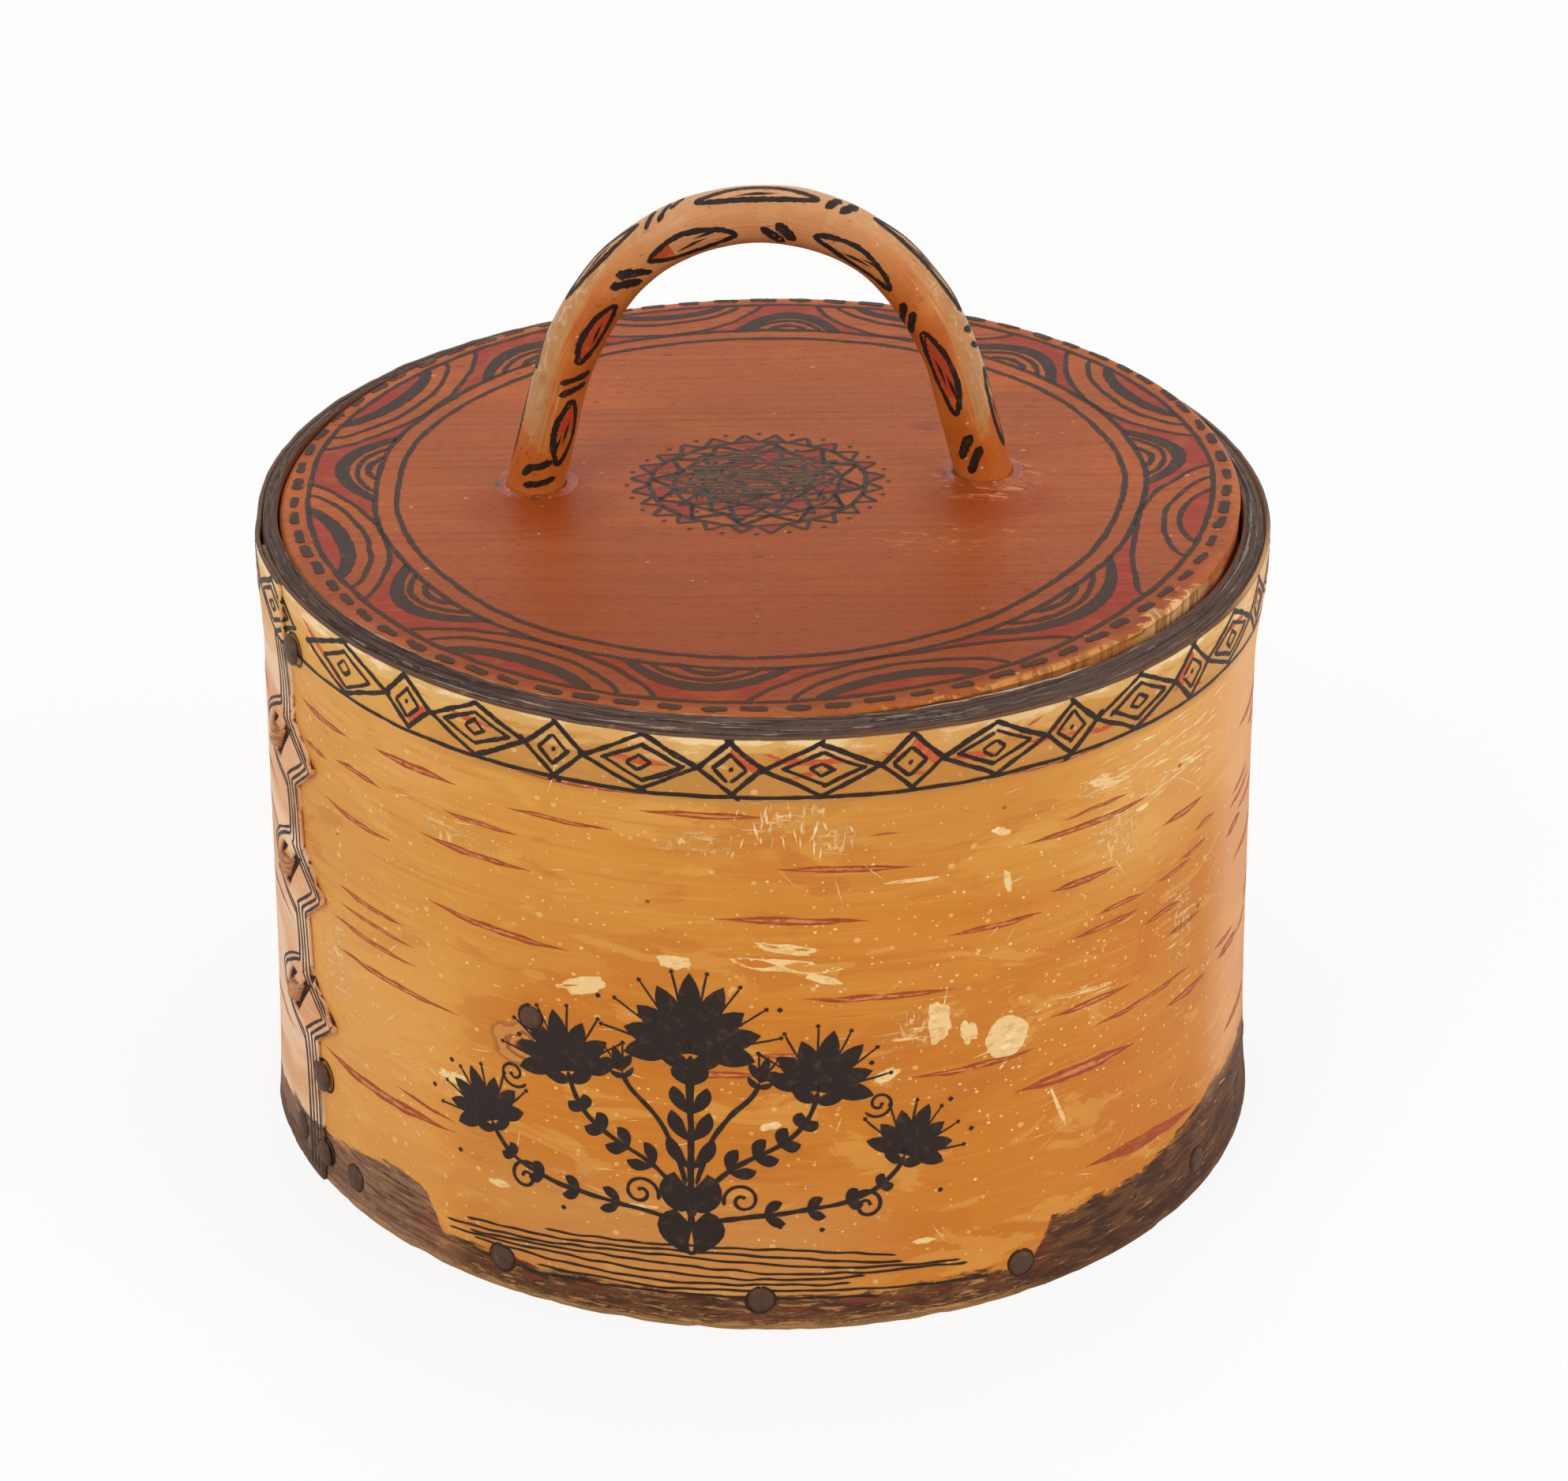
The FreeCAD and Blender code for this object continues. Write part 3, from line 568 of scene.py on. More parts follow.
# Straps of the seam: tongues of the layer below, drawn up through one slanted slit, over the
# flap and down through the next one, so that the lap holds without glue.
STRAP_WIDTH = 4.8
STRAP_SUNK = 1.9
STRAP_ARCH = 2.6
strap_bm = bmesh.new()
strap_run = strap_bm.loops.layers.uv.new("run")
for middle in POINT_HEIGHTS:
    near = seam_edge(middle) - SLIT_INSETS[0] - 0.3
    far = near - SLIT_INSETS[1] + SLIT_INSETS[0] + 0.6
    for vert in bmesh.ops.create_grid(strap_bm, x_segments=14, y_segments=4, size=0.5)["verts"]:
        share = vert.co.x + 0.5
        offset = vert.co.y * STRAP_WIDTH
        height = middle + offset
        across = far + (near - far) * share + offset * SLIT_SLANT * 0.8
        sunk = -STRAP_SUNK + STRAP_ARCH * math.sin(math.pi * share) ** 0.45
        crown = 0.35 * (1.0 - (2.0 * vert.co.y) ** 2)
        vert.co = wall_point(across, height, flap_lift(across, height) + sunk + crown)
        for loop in vert.link_loops:
            loop[strap_run].uv = (across * MM + ROUND * MM, height * MM)
strap_bark = Finish("strap_bark", (196, 138, 92), roughness=0.5, gloss=0.14)
strap_clouds = strap_bark.clouds(strap_bark.place("run"), (2.0, 0.9, 1.0), detail=5.0, rough=0.7)
strap_bark.coat((128, 76, 46), strap_clouds.over(0.48, 0.6) * 0.8)
strap_bark.coat((222, 176, 124), strap_clouds.over(0.42, 0.32) * 0.6)
strap_bark.relief(strap_clouds, 0.2)
thicken(new_piece("seam_straps", strap_bm, strap_bark, "box", "bark_sheet", "outer_bark_sheet"), 0.6)


def joined_up(bm, columns):
    """Faces between columns of places, each column with the next one."""
    previous = None
    for places in columns:
        column = [bm.verts.new(place) for place in places]
        if previous:
            for row in range(len(column) - 1):
                bm.faces.new((previous[row], column[row], column[row + 1], previous[row + 1]))
        previous = column


# Painted shade in each slit: a dark sheet between the flap and the layer below, where the hollow lies in
# shadow.
def slit_shade_point(spot):
    return wall_point(spot.x, spot.y, flap_lift(spot.x, spot.y) - 0.6)


slit_shade_bm = bmesh.new()
for middle in POINT_HEIGHTS:
    for inset in SLIT_INSETS:
        a, b, c, d = [Vector(corner) for corner in slit_corners(seam_edge(middle) - inset, middle)]
        low = [a.lerp(b, i / 4.0) + Vector((0.0, -0.4)) for i in range(5)]
        high = [d.lerp(c, i / 4.0) + Vector((0.0, 0.4)) for i in range(5)]
        joined_up(slit_shade_bm, [[slit_shade_point(first.lerp(last, row / 6.0)) for row in range(7)]
                              for first, last in zip(low, high)])
slit_shade = Finish("painted_slit_shade", (52, 30, 22), roughness=0.8, gloss=0.1)
slit_shade_clouds = slit_shade.clouds(slit_shade.place(), (1.2, 1.2, 2.0), detail=4.0)
slit_shade.coat((96, 52, 30), slit_shade_clouds.over(0.5, 0.7) * 0.7)
new_piece("painted_slit_shades", slit_shade_bm, slit_shade, "box", "bark_sheet")


# Inner tube: a sleeve of many thin bark layers, dark with age. Its end grain is the rim, which
# falls outwards from the lid to the sheet, and whose layers stand a little higher and lower.
TUBE_INNER = 91.0
TUBE_OUTER = BOX_RADIUS - 0.7
RIM_INNER = 90.35
RIM_THICKER_RIGHT = 0.5
RIM_POINTS = 24
LAYERS = 13.0


def spun(profile, steps, closed=False):
    """Turns a profile round the upright axis."""
    bm = bmesh.new()
    verts = [bm.verts.new(point) for point in profile]
    for a, b in zip(verts, verts[1:] + (verts[:1] if closed else [])):
        bm.edges.new((a, b))
    bmesh.ops.spin(bm, geom=bm.verts[:] + bm.edges[:], axis=(0, 0, 1), cent=(0, 0, 0),
                   angle=2.0 * math.pi, steps=steps, use_merge=True)
    if not closed:
        bmesh.ops.remove_doubles(bm, verts=bm.verts, dist=1e-5)
    bmesh.ops.recalc_face_normals(bm, faces=bm.faces)
    return bm


def rim_height(turn, share):
    """How high the rim stands above the wall: at the lid's side the share is 0."""
    layer = round(share * LAYERS)
    height = (0.9 + 0.7 * math.cos(turn)) * (1.0 - share) ** 0.8 - 0.75 * share
    height -= 1.5 * max(0.0, 0.08 - share) / 0.08 + 0.8 * max(0.0, share - 0.86) / 0.14
    height += 0.42 * noise_round(turn, 4.0, layer * 1.7) + 0.26 * noise_round(turn, 26.0, layer * 0.9)
    return min(height, 1.5)


profile = [Vector((TUBE_INNER, 0.0, height)) for height in (0.0, 60.0, 118.0)]
profile += [Vector((TUBE_INNER + 0.1 + (TUBE_OUTER - TUBE_INNER - 0.2) * i / RIM_POINTS, 0.0, WALL_HEIGHT))
            for i in range(RIM_POINTS + 1)]
profile += [Vector((TUBE_OUTER, 0.0, 117.0 - 13.0 * i)) for i in range(10)]
tube_bm = spun(profile, 320, closed=True)
for vert in tube_bm.verts:
    turn = math.atan2(vert.co.x, -vert.co.y)
    height = vert.co.z
    share = (vert.co.xy.length - TUBE_INNER) / (TUBE_OUTER - TUBE_INNER)
    if height > WALL_HEIGHT - 0.1:
        height += rim_height(turn, share)
    shell = wall_point(turn * BOX_RADIUS, min(height, WALL_HEIGHT), TUBE_OUTER - BOX_RADIUS) / MM
    rim_inner = RIM_INNER - RIM_THICKER_RIGHT * max(0.0, math.sin(turn)) ** 2
    inner = TUBE_INNER + (rim_inner - TUBE_INNER) * rise(height, 60.0, 118.0)
    core = Vector((inner * math.sin(turn), -inner * math.cos(turn), height))
    shell.z = height
    vert.co = core.lerp(shell, share) * MM

layers = Finish("aged_bark_layers", (94, 71, 63), roughness=0.55, gloss=0.14)
tube_place = layers.place()
tube_x, tube_y, tube_z = layers.axes(tube_place)
tube_radius = (tube_x * tube_x + tube_y * tube_y).root()
lamina_place = layers.joined(tube_x * 0.025, tube_y * 0.025, tube_radius * 3.4)
lamina = layers.clouds(lamina_place, (1.0, 1.0, 1.0), detail=5.0, rough=0.65)
streak_place = layers.joined(tube_x * 0.07, tube_y * 0.07, tube_radius * 2.2)
long_streak = layers.clouds(streak_place, (1.0, 1.0, 1.0), detail=6.0, rough=0.7, shift=(4.0, 2.0, 8.0))
crumbs = layers.clouds(tube_place, (1.6, 1.6, 1.6), detail=5.0, rough=0.7)
layers.coat((44, 34, 29), lamina.over(0.47, 0.54) * 0.92)
layers.coat((168, 152, 136), (lamina + crumbs * 0.2).over(0.68, 0.76) * 0.8)
layers.coat((120, 74, 54), long_streak.over(0.58, 0.68) * 0.6)
layers.coat((186, 164, 142), long_streak.over(0.42, 0.34) * 0.6)
outer_half = tube_radius.over(RIM_INNER + 3.0, RIM_INNER + 4.4)
layers.coat((136, 100, 80), (outer_half * 0.5 + long_streak - 0.3).over(0.36, 0.52) * 0.5)
layers.coat((70, 52, 42), (crumbs + outer_half * 0.1).over(0.6, 0.68) * 0.6)
# Along the rim's inner edge: at the front a pale line, painted highlight and pale wear together; at the back
# a dark reddish line, painted shade of the gap beside the lid.
painted_rim_edge_light_and_shade = (tube_radius.over(RIM_INNER + 0.7, RIM_INNER + 0.25) + (long_streak - 0.5) * 1.6).over(0.6, 0.9)
layers.coat((214, 194, 170), painted_rim_edge_light_and_shade * 0.8 * tube_y.over(-46.0, -64.0))
layers.coat((112, 60, 40), painted_rim_edge_light_and_shade.both(tube_y.over(-64.0, -46.0)) * 0.7)
layers.coat((104, 62, 36), tube_z.over(WALL_HEIGHT - 2.6, WALL_HEIGHT - 4.0))
layers.relief(lamina + long_streak + crumbs * 0.4, 0.3)
new_piece("bark_tube", tube_bm, layers, "box", "bark_tube", "inner_bark_tube")


# Lining and bottom board: a shorter bark sleeve that the lid rests on, and the pine disc that
# the wall is tacked to. Both are bare inside the box.
def finish_node(name, finish):
    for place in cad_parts[name].material_slots:
        place.material = finish.material


lining_bark = Finish("inner_bark", (176, 118, 72), roughness=0.62, gloss=0.35)
lining_bands = lining_bark.clouds(lining_bark.place(), (40.0, 40.0, 1.5), detail=5.0, rough=0.6)
lining_bark.coat((134, 80, 44), lining_bands.over(0.45, 0.7) * 0.8)
lining_bark.coat((210, 160, 110), lining_bands.over(0.4, 0.25) * 0.6)
lining_bark.relief(lining_bands, 0.15)
finish_node("inner_lining", lining_bark)

board_pine = Finish("bare_pine", (206, 164, 112), roughness=0.66, gloss=0.3)
board_place = board_pine.place()
board_bend = board_pine.clouds(board_place, (60.0, 30.0, 60.0), detail=2.0)
board_rings = board_pine.clouds(board_place, (160.0, 3.2, 9.0), detail=3.0, warp=0.3)
board_fibre = board_pine.clouds(board_place, (14.0, 0.5, 0.8), detail=3.0)
board_pine.coat((168, 112, 62), (board_rings + board_bend * 0.2).over(0.56, 0.7) * 0.7)
board_pine.coat((150, 104, 66), board_fibre.over(0.55, 0.8) * 0.4)
board_pine.relief(board_rings + board_fibre, 0.12)
finish_node("bottom_board", board_pine)


# Tacks: hand-forged iron with low domed heads, browned by rust. They hold the wall to the bottom
# board, the ends of the seam and the bark beside the knot.
iron = Finish("rusted_iron", (82, 56, 42), roughness=0.5, gloss=0.2)
iron_place = iron.place()
iron_rust = iron.clouds(iron_place, (1.6, 1.6, 1.6), detail=5.0, rough=0.65)
iron_pits = iron.clouds(iron_place, (0.5, 0.5, 0.5), detail=3.0)
iron.coat((108, 76, 50), iron_rust.over(0.5, 0.7) * 0.7)
iron.coat((46, 35, 28), iron_rust.over(0.42, 0.28) * 0.8)
iron.relief(iron_rust + iron_pits * 0.6, 0.25)

# Each tack's turn in degrees, its height, its head's width, its dome's height and what it lies on.
# The fourth of the base is driven deeper, and two of the base lie on the flap.
TACK_LEVEL = 6.2
TACK_HEAD = 5.0
BASE_TACKS = [(0.4 + 30.0 * number, TACK_LEVEL, TACK_HEAD, 0.45 if number == 3 else 0.85,
               FLAP_LIFT if number == 10 else 0.0) for number in range(12)]
BASE_TACKS += [(-66.0, TACK_LEVEL, TACK_HEAD, 0.85, FLAP_LIFT), (-53.2, TACK_LEVEL, TACK_HEAD, 0.85, 0.0)]
SEAM_TACKS = [(-63.6, 110.4, 6.0, 1.0, FLAP_LIFT), (-60.1, 22.7, 6.0, 1.0, FLAP_LIFT)]
KNOT_TACKS = [(-25.4, 59.3, 4.4, 1.0, 0.0)]
# The rings of a head: how far in each lies and how far up, as shares.
HEAD_RINGS = ((0.03, 0.40), (0.17, 0.28), (0.32, 0.20), (0.30, 0.10))


def forged_head(bm, turn, height, head, dome, lift):
    """A low hammered dome with a thin rolled edge, lying on the bark."""
    out = Vector((math.sin(math.radians(turn)), -math.cos(math.radians(turn)), 0.0))
    seat = wall_point(math.radians(turn) * BOX_RADIUS, height, lift)
    stand = Matrix.Translation(seat) @ out.to_track_quat("Z", "Y").to_matrix().to_4x4()
    made = bmesh.ops.create_circle(bm, cap_ends=True, segments=28, radius=0.5 * head * MM)
    base = next(f for v in made["verts"] for f in v.link_faces)
    verts = list(made["verts"])
    for inset, rise_by in HEAD_RINGS:
        ring = bmesh.ops.inset_region(bm, faces=[base], thickness=inset * 0.5 * head * MM,
                                      depth=rise_by * dome * MM, use_even_offset=True,
                                      use_boundary=True)
        verts += [v for f in ring["faces"] for v in f.verts]
    verts += list(base.verts)
    seed = Vector((turn, height, 1.0))
    for vert in set(verts):
        spot = vert.co.copy() / MM
        rough = noise.noise(spot * 0.9 + seed)
        edge = 1.0 + 0.05 * noise.noise(Vector((math.atan2(spot.y, spot.x), turn, height)))
        vert.co = stand @ (Vector((spot.x * edge, spot.y * edge, spot.z + 0.14 * rough - 0.1)) * MM)


def tack_heads(tacks):
    bm = bmesh.new()
    for tack in tacks:
        forged_head(bm, *tack)
    return bm


new_piece("base_tack_heads", tack_heads(BASE_TACKS), iron, "box", "tack_iron", "base_tacks")
new_piece("seam_tack_heads", tack_heads(SEAM_TACKS), iron, "box", "tack_iron", "seam_tacks")
new_piece("knot_tack_head", tack_heads(KNOT_TACKS), iron, "box", "tack_iron", "knot_tack")


# Pen work on the wall: ink strokes laid on the bark. A chain of diamonds runs under the rim, and
# parallel lines follow the seam.
def on_wall(across, height, lift):
    height = min(height, WALL_HEIGHT - 0.8)
    return wall_point(across, height, lift + flap_lift(across, height))


def stroke(bm, path, width, place, lift=0.07, step=0.8, wobble=0.16, seed=0.0, pointed=0.0, rough=0.0,
           blunt=0.12):
    """One stroke of the pen along a path. Its line wavers, its width varies, its sides may be rough,
    and its ends are rounded or blunt, or drawn to a point over a share of its length."""
    spots = [Vector(point) for point in path]
    lengths = [(b - a).length for a, b in zip(spots, spots[1:])]
    total = sum(lengths)
    if total < 1e-6:
        return
    count = max(3, round(total / step))
    samples = []
    for i in range(count + 1):
        rest = total * i / count
        for start, finish, length in zip(spots, spots[1:], lengths):
            if rest <= length or finish is spots[-1]:
                samples.append(start.lerp(finish, min(rest / max(length, 1e-9), 1.0)))
                break
            rest -= length
    previous = None
    for i, spot in enumerate(samples):
        ahead = samples[min(i + 1, count)] - samples[max(i - 1, 0)]
        side = Vector((-ahead.y, ahead.x)).normalized()
        share = i / count
        shake = noise.noise(Vector((share * total / 5.0, seed, 0.5)))
        swell = 1.0 + 0.3 * noise.noise(Vector((share * total / 2.2, seed, 9.5)))
        end = min(share, 1.0 - share) * total
        taper = min(1.0, (end + blunt * width) / (0.6 * width))
        if pointed:
            taper = min(taper, max(0.08, min(share, 1.0 - share) / pointed))
        middle = spot + side * shake * wobble
        halves = []
        for edge in (20.0, 30.0):
            ragged = 1.0 + rough * noise.noise(Vector((share * total / 0.7, seed, edge)))
            halves.append(0.5 * width * swell * taper * ragged)
        pair = [bm.verts.new(place(*(middle - side * halves[0]), lift)),
                bm.verts.new(place(*(middle + side * halves[1]), lift))]
        if previous:
            bm.faces.new((previous[1], previous[0], pair[0], pair[1]))
        previous = pair


def fill(bm, first, second, place, lift=0.04, rows=3):
    """Colour laid between two paths that have as many points."""
    joined_up(bm, [[place(*Vector(a).lerp(Vector(b), row / rows), lift) for row in range(rows + 1)]
                   for a, b in zip(first, second)])


def dot(bm, x, y, reach, width, place, step=0.25):
    """A short stroke through a spot, as far to each side as the reach says."""
    stroke(bm, [(x - reach[0], y - reach[1]), (x + reach[0], y + reach[1])], width, place,
           step=step, wobble=0.0)


def ink_finish(name, colour, faded, amount):
    finish = Finish(name, colour, roughness=0.5, gloss=0.15)
    worn = finish.clouds(finish.place(), (2.2, 2.2, 2.2), detail=4.0, rough=0.7)
    finish.coat(faded, worn.over(0.52, 0.74) * amount)
    return finish


wall_ink = ink_finish("wall_ink", (44, 34, 30), (104, 74, 54), 0.4)
crayon = ink_finish("orange_crayon", (196, 80, 44), (216, 140, 76), 0.9)
DIAMONDS = 19
BY_SEAM = DIAMONDS - 1
CHAIN_PITCH = ROUND / DIAMONDS
CHAIN_FIRST = math.radians(-31.4) * BOX_RADIUS
BIG_HALF = 0.325 * CHAIN_PITCH
SMALL_HALF = 0.175 * CHAIN_PITCH
CHAIN_MIDDLE, CHAIN_FOOT = 115.4, 110.2
TO_TOP, TO_FOOT = 120.7 - CHAIN_MIDDLE, CHAIN_MIDDLE - CHAIN_FOOT
hand = random.Random(7)
ink_bm = bmesh.new()
crayon_bm = bmesh.new()


def shaky(point, amount=0.32):
    return point[0] + hand.uniform(-amount, amount), point[1] + hand.uniform(-amount, amount)


def diamond(across, half_width, high, low, width, overshoot=0.06):
    """Four strokes that overshoot their corners a little. High and low are from the middle."""
    left = (across - half_width, CHAIN_MIDDLE)
    right = (across + half_width, CHAIN_MIDDLE)
    top = shaky((across, CHAIN_MIDDLE + high))
    foot = shaky((across, CHAIN_MIDDLE - low))
    for start, finish in ((left, top), (top, right), (left, foot), (foot, right)):
        past = overshoot * hand.uniform(0.0, 1.0)
        over_x = (finish[0] - start[0]) * past
        over_y = (finish[1] - start[1]) * past
        path = [shaky((start[0] - over_x, start[1] - over_y), 0.2),
                shaky((finish[0] + over_x, finish[1] + over_y), 0.2)]
        stroke(ink_bm, path, width * hand.uniform(0.85, 1.15), on_wall, step=0.4, wobble=0.3,
               seed=hand.random() * 90.0, rough=0.25)


for number in range(DIAMONDS):
    middle = CHAIN_FIRST + CHAIN_PITCH * number
    if middle > math.pi * BOX_RADIUS:
        middle -= ROUND
    beside = middle + BIG_HALF + SMALL_HALF
    wide = BIG_HALF
    if number == BY_SEAM:
        middle -= 2.0
        wide = 1.25 * BIG_HALF
    diamond(middle, wide, TO_TOP, TO_FOOT, 0.9, overshoot=0.1)
    diamond(middle + hand.uniform(-0.4, 0.4), 7.0, 3.4, 3.4, 0.75)
    diamond(middle + hand.uniform(-0.4, 0.4), 2.2, 1.5, 1.5, 0.7)
    if number == BY_SEAM - 1:
        continue
    diamond(beside, SMALL_HALF, TO_TOP, TO_FOOT, 0.9, overshoot=0.25)
    diamond(beside + hand.uniform(-0.2, 0.2), 2.9, 2.9, 2.9, 0.75)
    x, y = shaky((beside, CHAIN_MIDDLE), 0.2)
    stroke(ink_bm, [(x - 0.3, y - 0.4), (x + 0.3, y + 0.5)], 0.9, on_wall, step=0.25, wobble=0.0)
    if hand.random() < 0.75:
        side = hand.choice((-1, 1))
        level = hand.choice((-1, 1))
        outer = [(beside + side * SMALL_HALF * t, CHAIN_MIDDLE + level * 5.0 * (1.0 - t))
                 for t in (0.9, 0.5, 0.1)]
        inner = [(x - side * 0.8, y - level * 1.5) for x, y in outer]
        fill(crayon_bm, outer, inner, on_wall)
    if hand.random() < 0.55:
        smear = CHAIN_MIDDLE + hand.uniform(-2.0, 3.0)
        start = middle - BIG_HALF * hand.uniform(0.4, 0.9)
        finish = start + hand.uniform(7.0, 17.0)
        stroke(crayon_bm, [(start, smear), (finish, smear - 0.8)], 1.2, on_wall, lift=0.045, seed=number,
               pointed=0.3)
for number in range(18):
    x, y = hand.uniform(0.0, 105.0), hand.uniform(111.5, 118.5)
    smear = [(x, y), (x + hand.uniform(2.0, 6.0), y + hand.uniform(-2.0, 2.0))]
    stroke(crayon_bm, smear, hand.uniform(0.5, 1.1), on_wall, lift=0.045, step=0.4, seed=number,
           pointed=0.4, rough=0.8)
by_seam_crayon = [(-100.5, 119.0), (-91.0, 114.6), (-85.5, 110.8)]
stroke(crayon_bm, by_seam_crayon, 0.9, on_wall, lift=0.045, seed=50.0, pointed=0.2)
base_line = [(HIDDEN_END + 12.0 + ROUND * i / 240.0,
              CHAIN_FOOT - 0.5 + 0.25 * noise.noise(Vector((i / 7.0, 2, 0)))) for i in range(241)]
stroke(ink_bm, base_line, 0.75, on_wall, seed=3.0)

# The lines along the seam: three follow the flap's edge, and two swing out round the straps.
seam_bm = bmesh.new()
seam_rows = [1.0 + 0.6 * i for i in range(round((CHAIN_FOOT - 1.0) / 0.6))]


def right_line(height, inset):
    """The flap's edge moved in, and a little more so along its points."""
    edge = flap_edge(height)
    on_point = edge > flap_edge(0.0) - height * SEAM_LEAN + 0.5
    return edge - inset - (0.35 * inset if on_point else 0.0)


def left_line(height, reach, half, inset):
    """A line that swings out round the woven strap at each point."""
    swing = 0.0
    for middle in POINT_HEIGHTS:
        swing += reach * max(0.0, 1.0 - abs((height - middle) / half) ** 1.6)
    return seam_edge(height) - inset - swing


for inset, width in ((0.45, 0.55), (2.0, 0.6), (3.6, 0.6)):
    line = [(right_line(height, inset), height) for height in seam_rows]
    stroke(seam_bm, line, width, on_wall, step=0.6, wobble=0.2, seed=inset)
for inset, reach, half, width in ((5.2, 11.0, 7.6, 0.7), (5.4, 12.6, 8.8, 0.55)):
    line = [(left_line(height, reach, half, inset), height) for height in seam_rows]
    stroke(seam_bm, line, width, on_wall, step=0.6, wobble=0.2, seed=inset + 4.0)
new_piece("seam_lines", seam_bm, wall_ink, "box", "bark_sheet")
new_piece("diamond_chain", ink_bm, wall_ink, "box", "bark_sheet")
new_piece("chain_crayon", crayon_bm, crayon, "box", "bark_sheet")


# Bouquet on the front: an ornamental spray in the same black ink. Curved stems rise from a heart
# and end in fans of petals, with curled leaves, scrolls and dots, over a few long ground lines.
bouquet_bm = bmesh.new()
BOUQUET_MIDDLE = -12.0


def petal(bm, root, angle, length, width, curl, fullest):
    """A filled petal that bends by its curl. It is widest at a share of its length."""
    power = math.log(0.5) / math.log(fullest)
    one, other = [], []
    spot = Vector(root)
    steps = 9
    for i in range(steps + 1):
        t = i / steps
        heading = angle + curl * (t - 0.15)
        ahead_by = Vector((math.cos(heading), math.sin(heading)))
        side = Vector((-ahead_by.y, ahead_by.x))
        half = 0.5 * width * math.sin(math.pi * t ** power) ** 0.85 + 0.06
        half *= 1.0 + 0.14 * noise.noise(Vector((root[0] + t * 3.0, root[1], angle)))
        one.append(spot + side * half)
        other.append(spot - side * half)
        spot = spot + ahead_by * (length / steps)
    fill(bm, one, other, on_wall, lift=0.07, rows=2)


def mirrored(x, side):
    return BOUQUET_MIDDLE + side * x


def fan(bm, x, y, angle, size, count, spread):
    """A flower: a fan of petals over a cup, with a bead on a hair between each two."""
    for i in range(count):
        share = i / (count - 1) - 0.5
        length = size * (1.0 - 0.22 * abs(share) * 2.0) * hand.uniform(0.94, 1.06)
        petal(bm, (x, y), angle + share * spread, length, size * 0.29, share * 0.9, fullest=0.62)
    for i in range(count - 1):
        share = (i + 0.5) / (count - 1) - 0.5
        out = Vector((math.cos(angle + share * spread), math.sin(angle + share * spread)))
        end = Vector((x, y)) + out * size * 1.08
        stroke(bm, [(x, y), tuple(end)], 0.4, on_wall, wobble=0.15, seed=x + i)
        stroke(bm, [tuple(end - out * 0.45), tuple(end + out * 0.45)], 1.1, on_wall, step=0.25, wobble=0.0)
    root = (x - math.cos(angle) * 0.16 * size, y - math.sin(angle) * 0.16 * size)
    for side in (-1, 1):
        petal(bm, root, angle + side * 1.25, size * 0.52, size * 0.2, -side * 0.9, fullest=0.4)


def scroll(bm, x, y, radius, opening, direction, width=0.7):
    """A spiral that winds inwards from a point."""
    path = []
    for i in range(27):
        t = i / 26.0
        a = opening + direction * t * 2.0 * math.pi * 1.35
        reach = radius * (1.0 - 0.82 * t)
        path.append((x + reach * math.cos(a) - radius * math.cos(opening),
                     y + reach * math.sin(a) - radius * math.sin(opening)))
    stroke(bm, path, width, on_wall, step=0.5, wobble=0.12, seed=x + y)
    dot(bm, *path[-1], (0.4, 0.0), 1.3, on_wall, step=0.2)


def stem(bm, points, width):
    """A smooth stem through four points, and its places and headings along the way."""
    a, b, c, d = [Vector(p) for p in points]
    path = []
    for i in range(25):
        t = i / 24.0
        path.append(a * (1 - t) ** 3 + b * 3 * t * (1 - t) ** 2 + c * 3 * t * t * (1 - t) + d * t ** 3)
    stroke(bm, path, width, on_wall, wobble=0.2, seed=d.x)
    headings = [math.atan2((q - p).y, (q - p).x) for p, q in zip(path, path[1:])]
    return path, headings + headings[-1:]


UP = math.pi / 2
trunk, _ = stem(bouquet_bm, [(BOUQUET_MIDDLE, height) for height in (21, 34, 44, 57)], 1.3)
fan(bouquet_bm, BOUQUET_MIDDLE, 57.5, UP, 15.5, 9, math.radians(176))
for side in (-1, 1):
    petal(bouquet_bm, (BOUQUET_MIDDLE, 24.5), UP + side * 0.75, 9.0, 5.6, -side * 1.3, fullest=0.45)
    petal(bouquet_bm, (BOUQUET_MIDDLE, 15.0), UP - side * 0.62, 10.5, 6.0, side * 1.1, fullest=0.62)
    for at, long, open_by in ((8, 8.0, 0.75), (12, 7.4, 0.7), (16, 6.6, 0.7), (20, 5.4, 0.7)):
        petal(bouquet_bm, trunk[at], UP + side * open_by, long, 2.7, -side * 0.7, fullest=0.6)
    for points, size, count, spread in (
            ([(0, 23), (6, 40), (20, 34), (23, 50)], 12.5, 7, 158),
            ([(0, 21), (14, 27), (34, 22), (39, 35)], 10.5, 7, 158),
            ([(1, 30), (5, 48), (11, 46), (12.5, 52)], 5.5, 3, 70)):
        path, headings = stem(bouquet_bm, [(mirrored(x, side), y) for x, y in points], 0.95)
        fan(bouquet_bm, path[-1].x, path[-1].y, headings[-1], size, count, math.radians(spread))
        if size < 6.0:
            continue
        for at in (7, 11, 15, 19):
            for over in (-1, 1):
                petal(bouquet_bm, path[at], headings[at] + over * 0.8, size * (0.5 - 0.012 * at), size * 0.19,
                      -over * 0.8, fullest=0.6)
    scroll(bouquet_bm, mirrored(6.0, side), 26.0, 3.6, math.radians(200 if side > 0 else -20), -side)
    scroll(bouquet_bm, mirrored(29.0, side), 27.0, 3.4, math.radians(150 if side > 0 else 30), -side)
    scroll(bouquet_bm, mirrored(31.5, side), 45.0, 3.0, math.radians(210 if side > 0 else -30), side, 0.6)
    for x, y in ((9.0, 64.0), (16.5, 67.0), (33.0, 55.0), (48.0, 45.0), (52.0, 38.0), (16.0, 22.0),
                 (24.0, 20.5), (46.0, 26.0)):
        dot(bouquet_bm, *shaky((mirrored(x, side), y), 0.4), (0.5, 0.0), 1.5, on_wall)
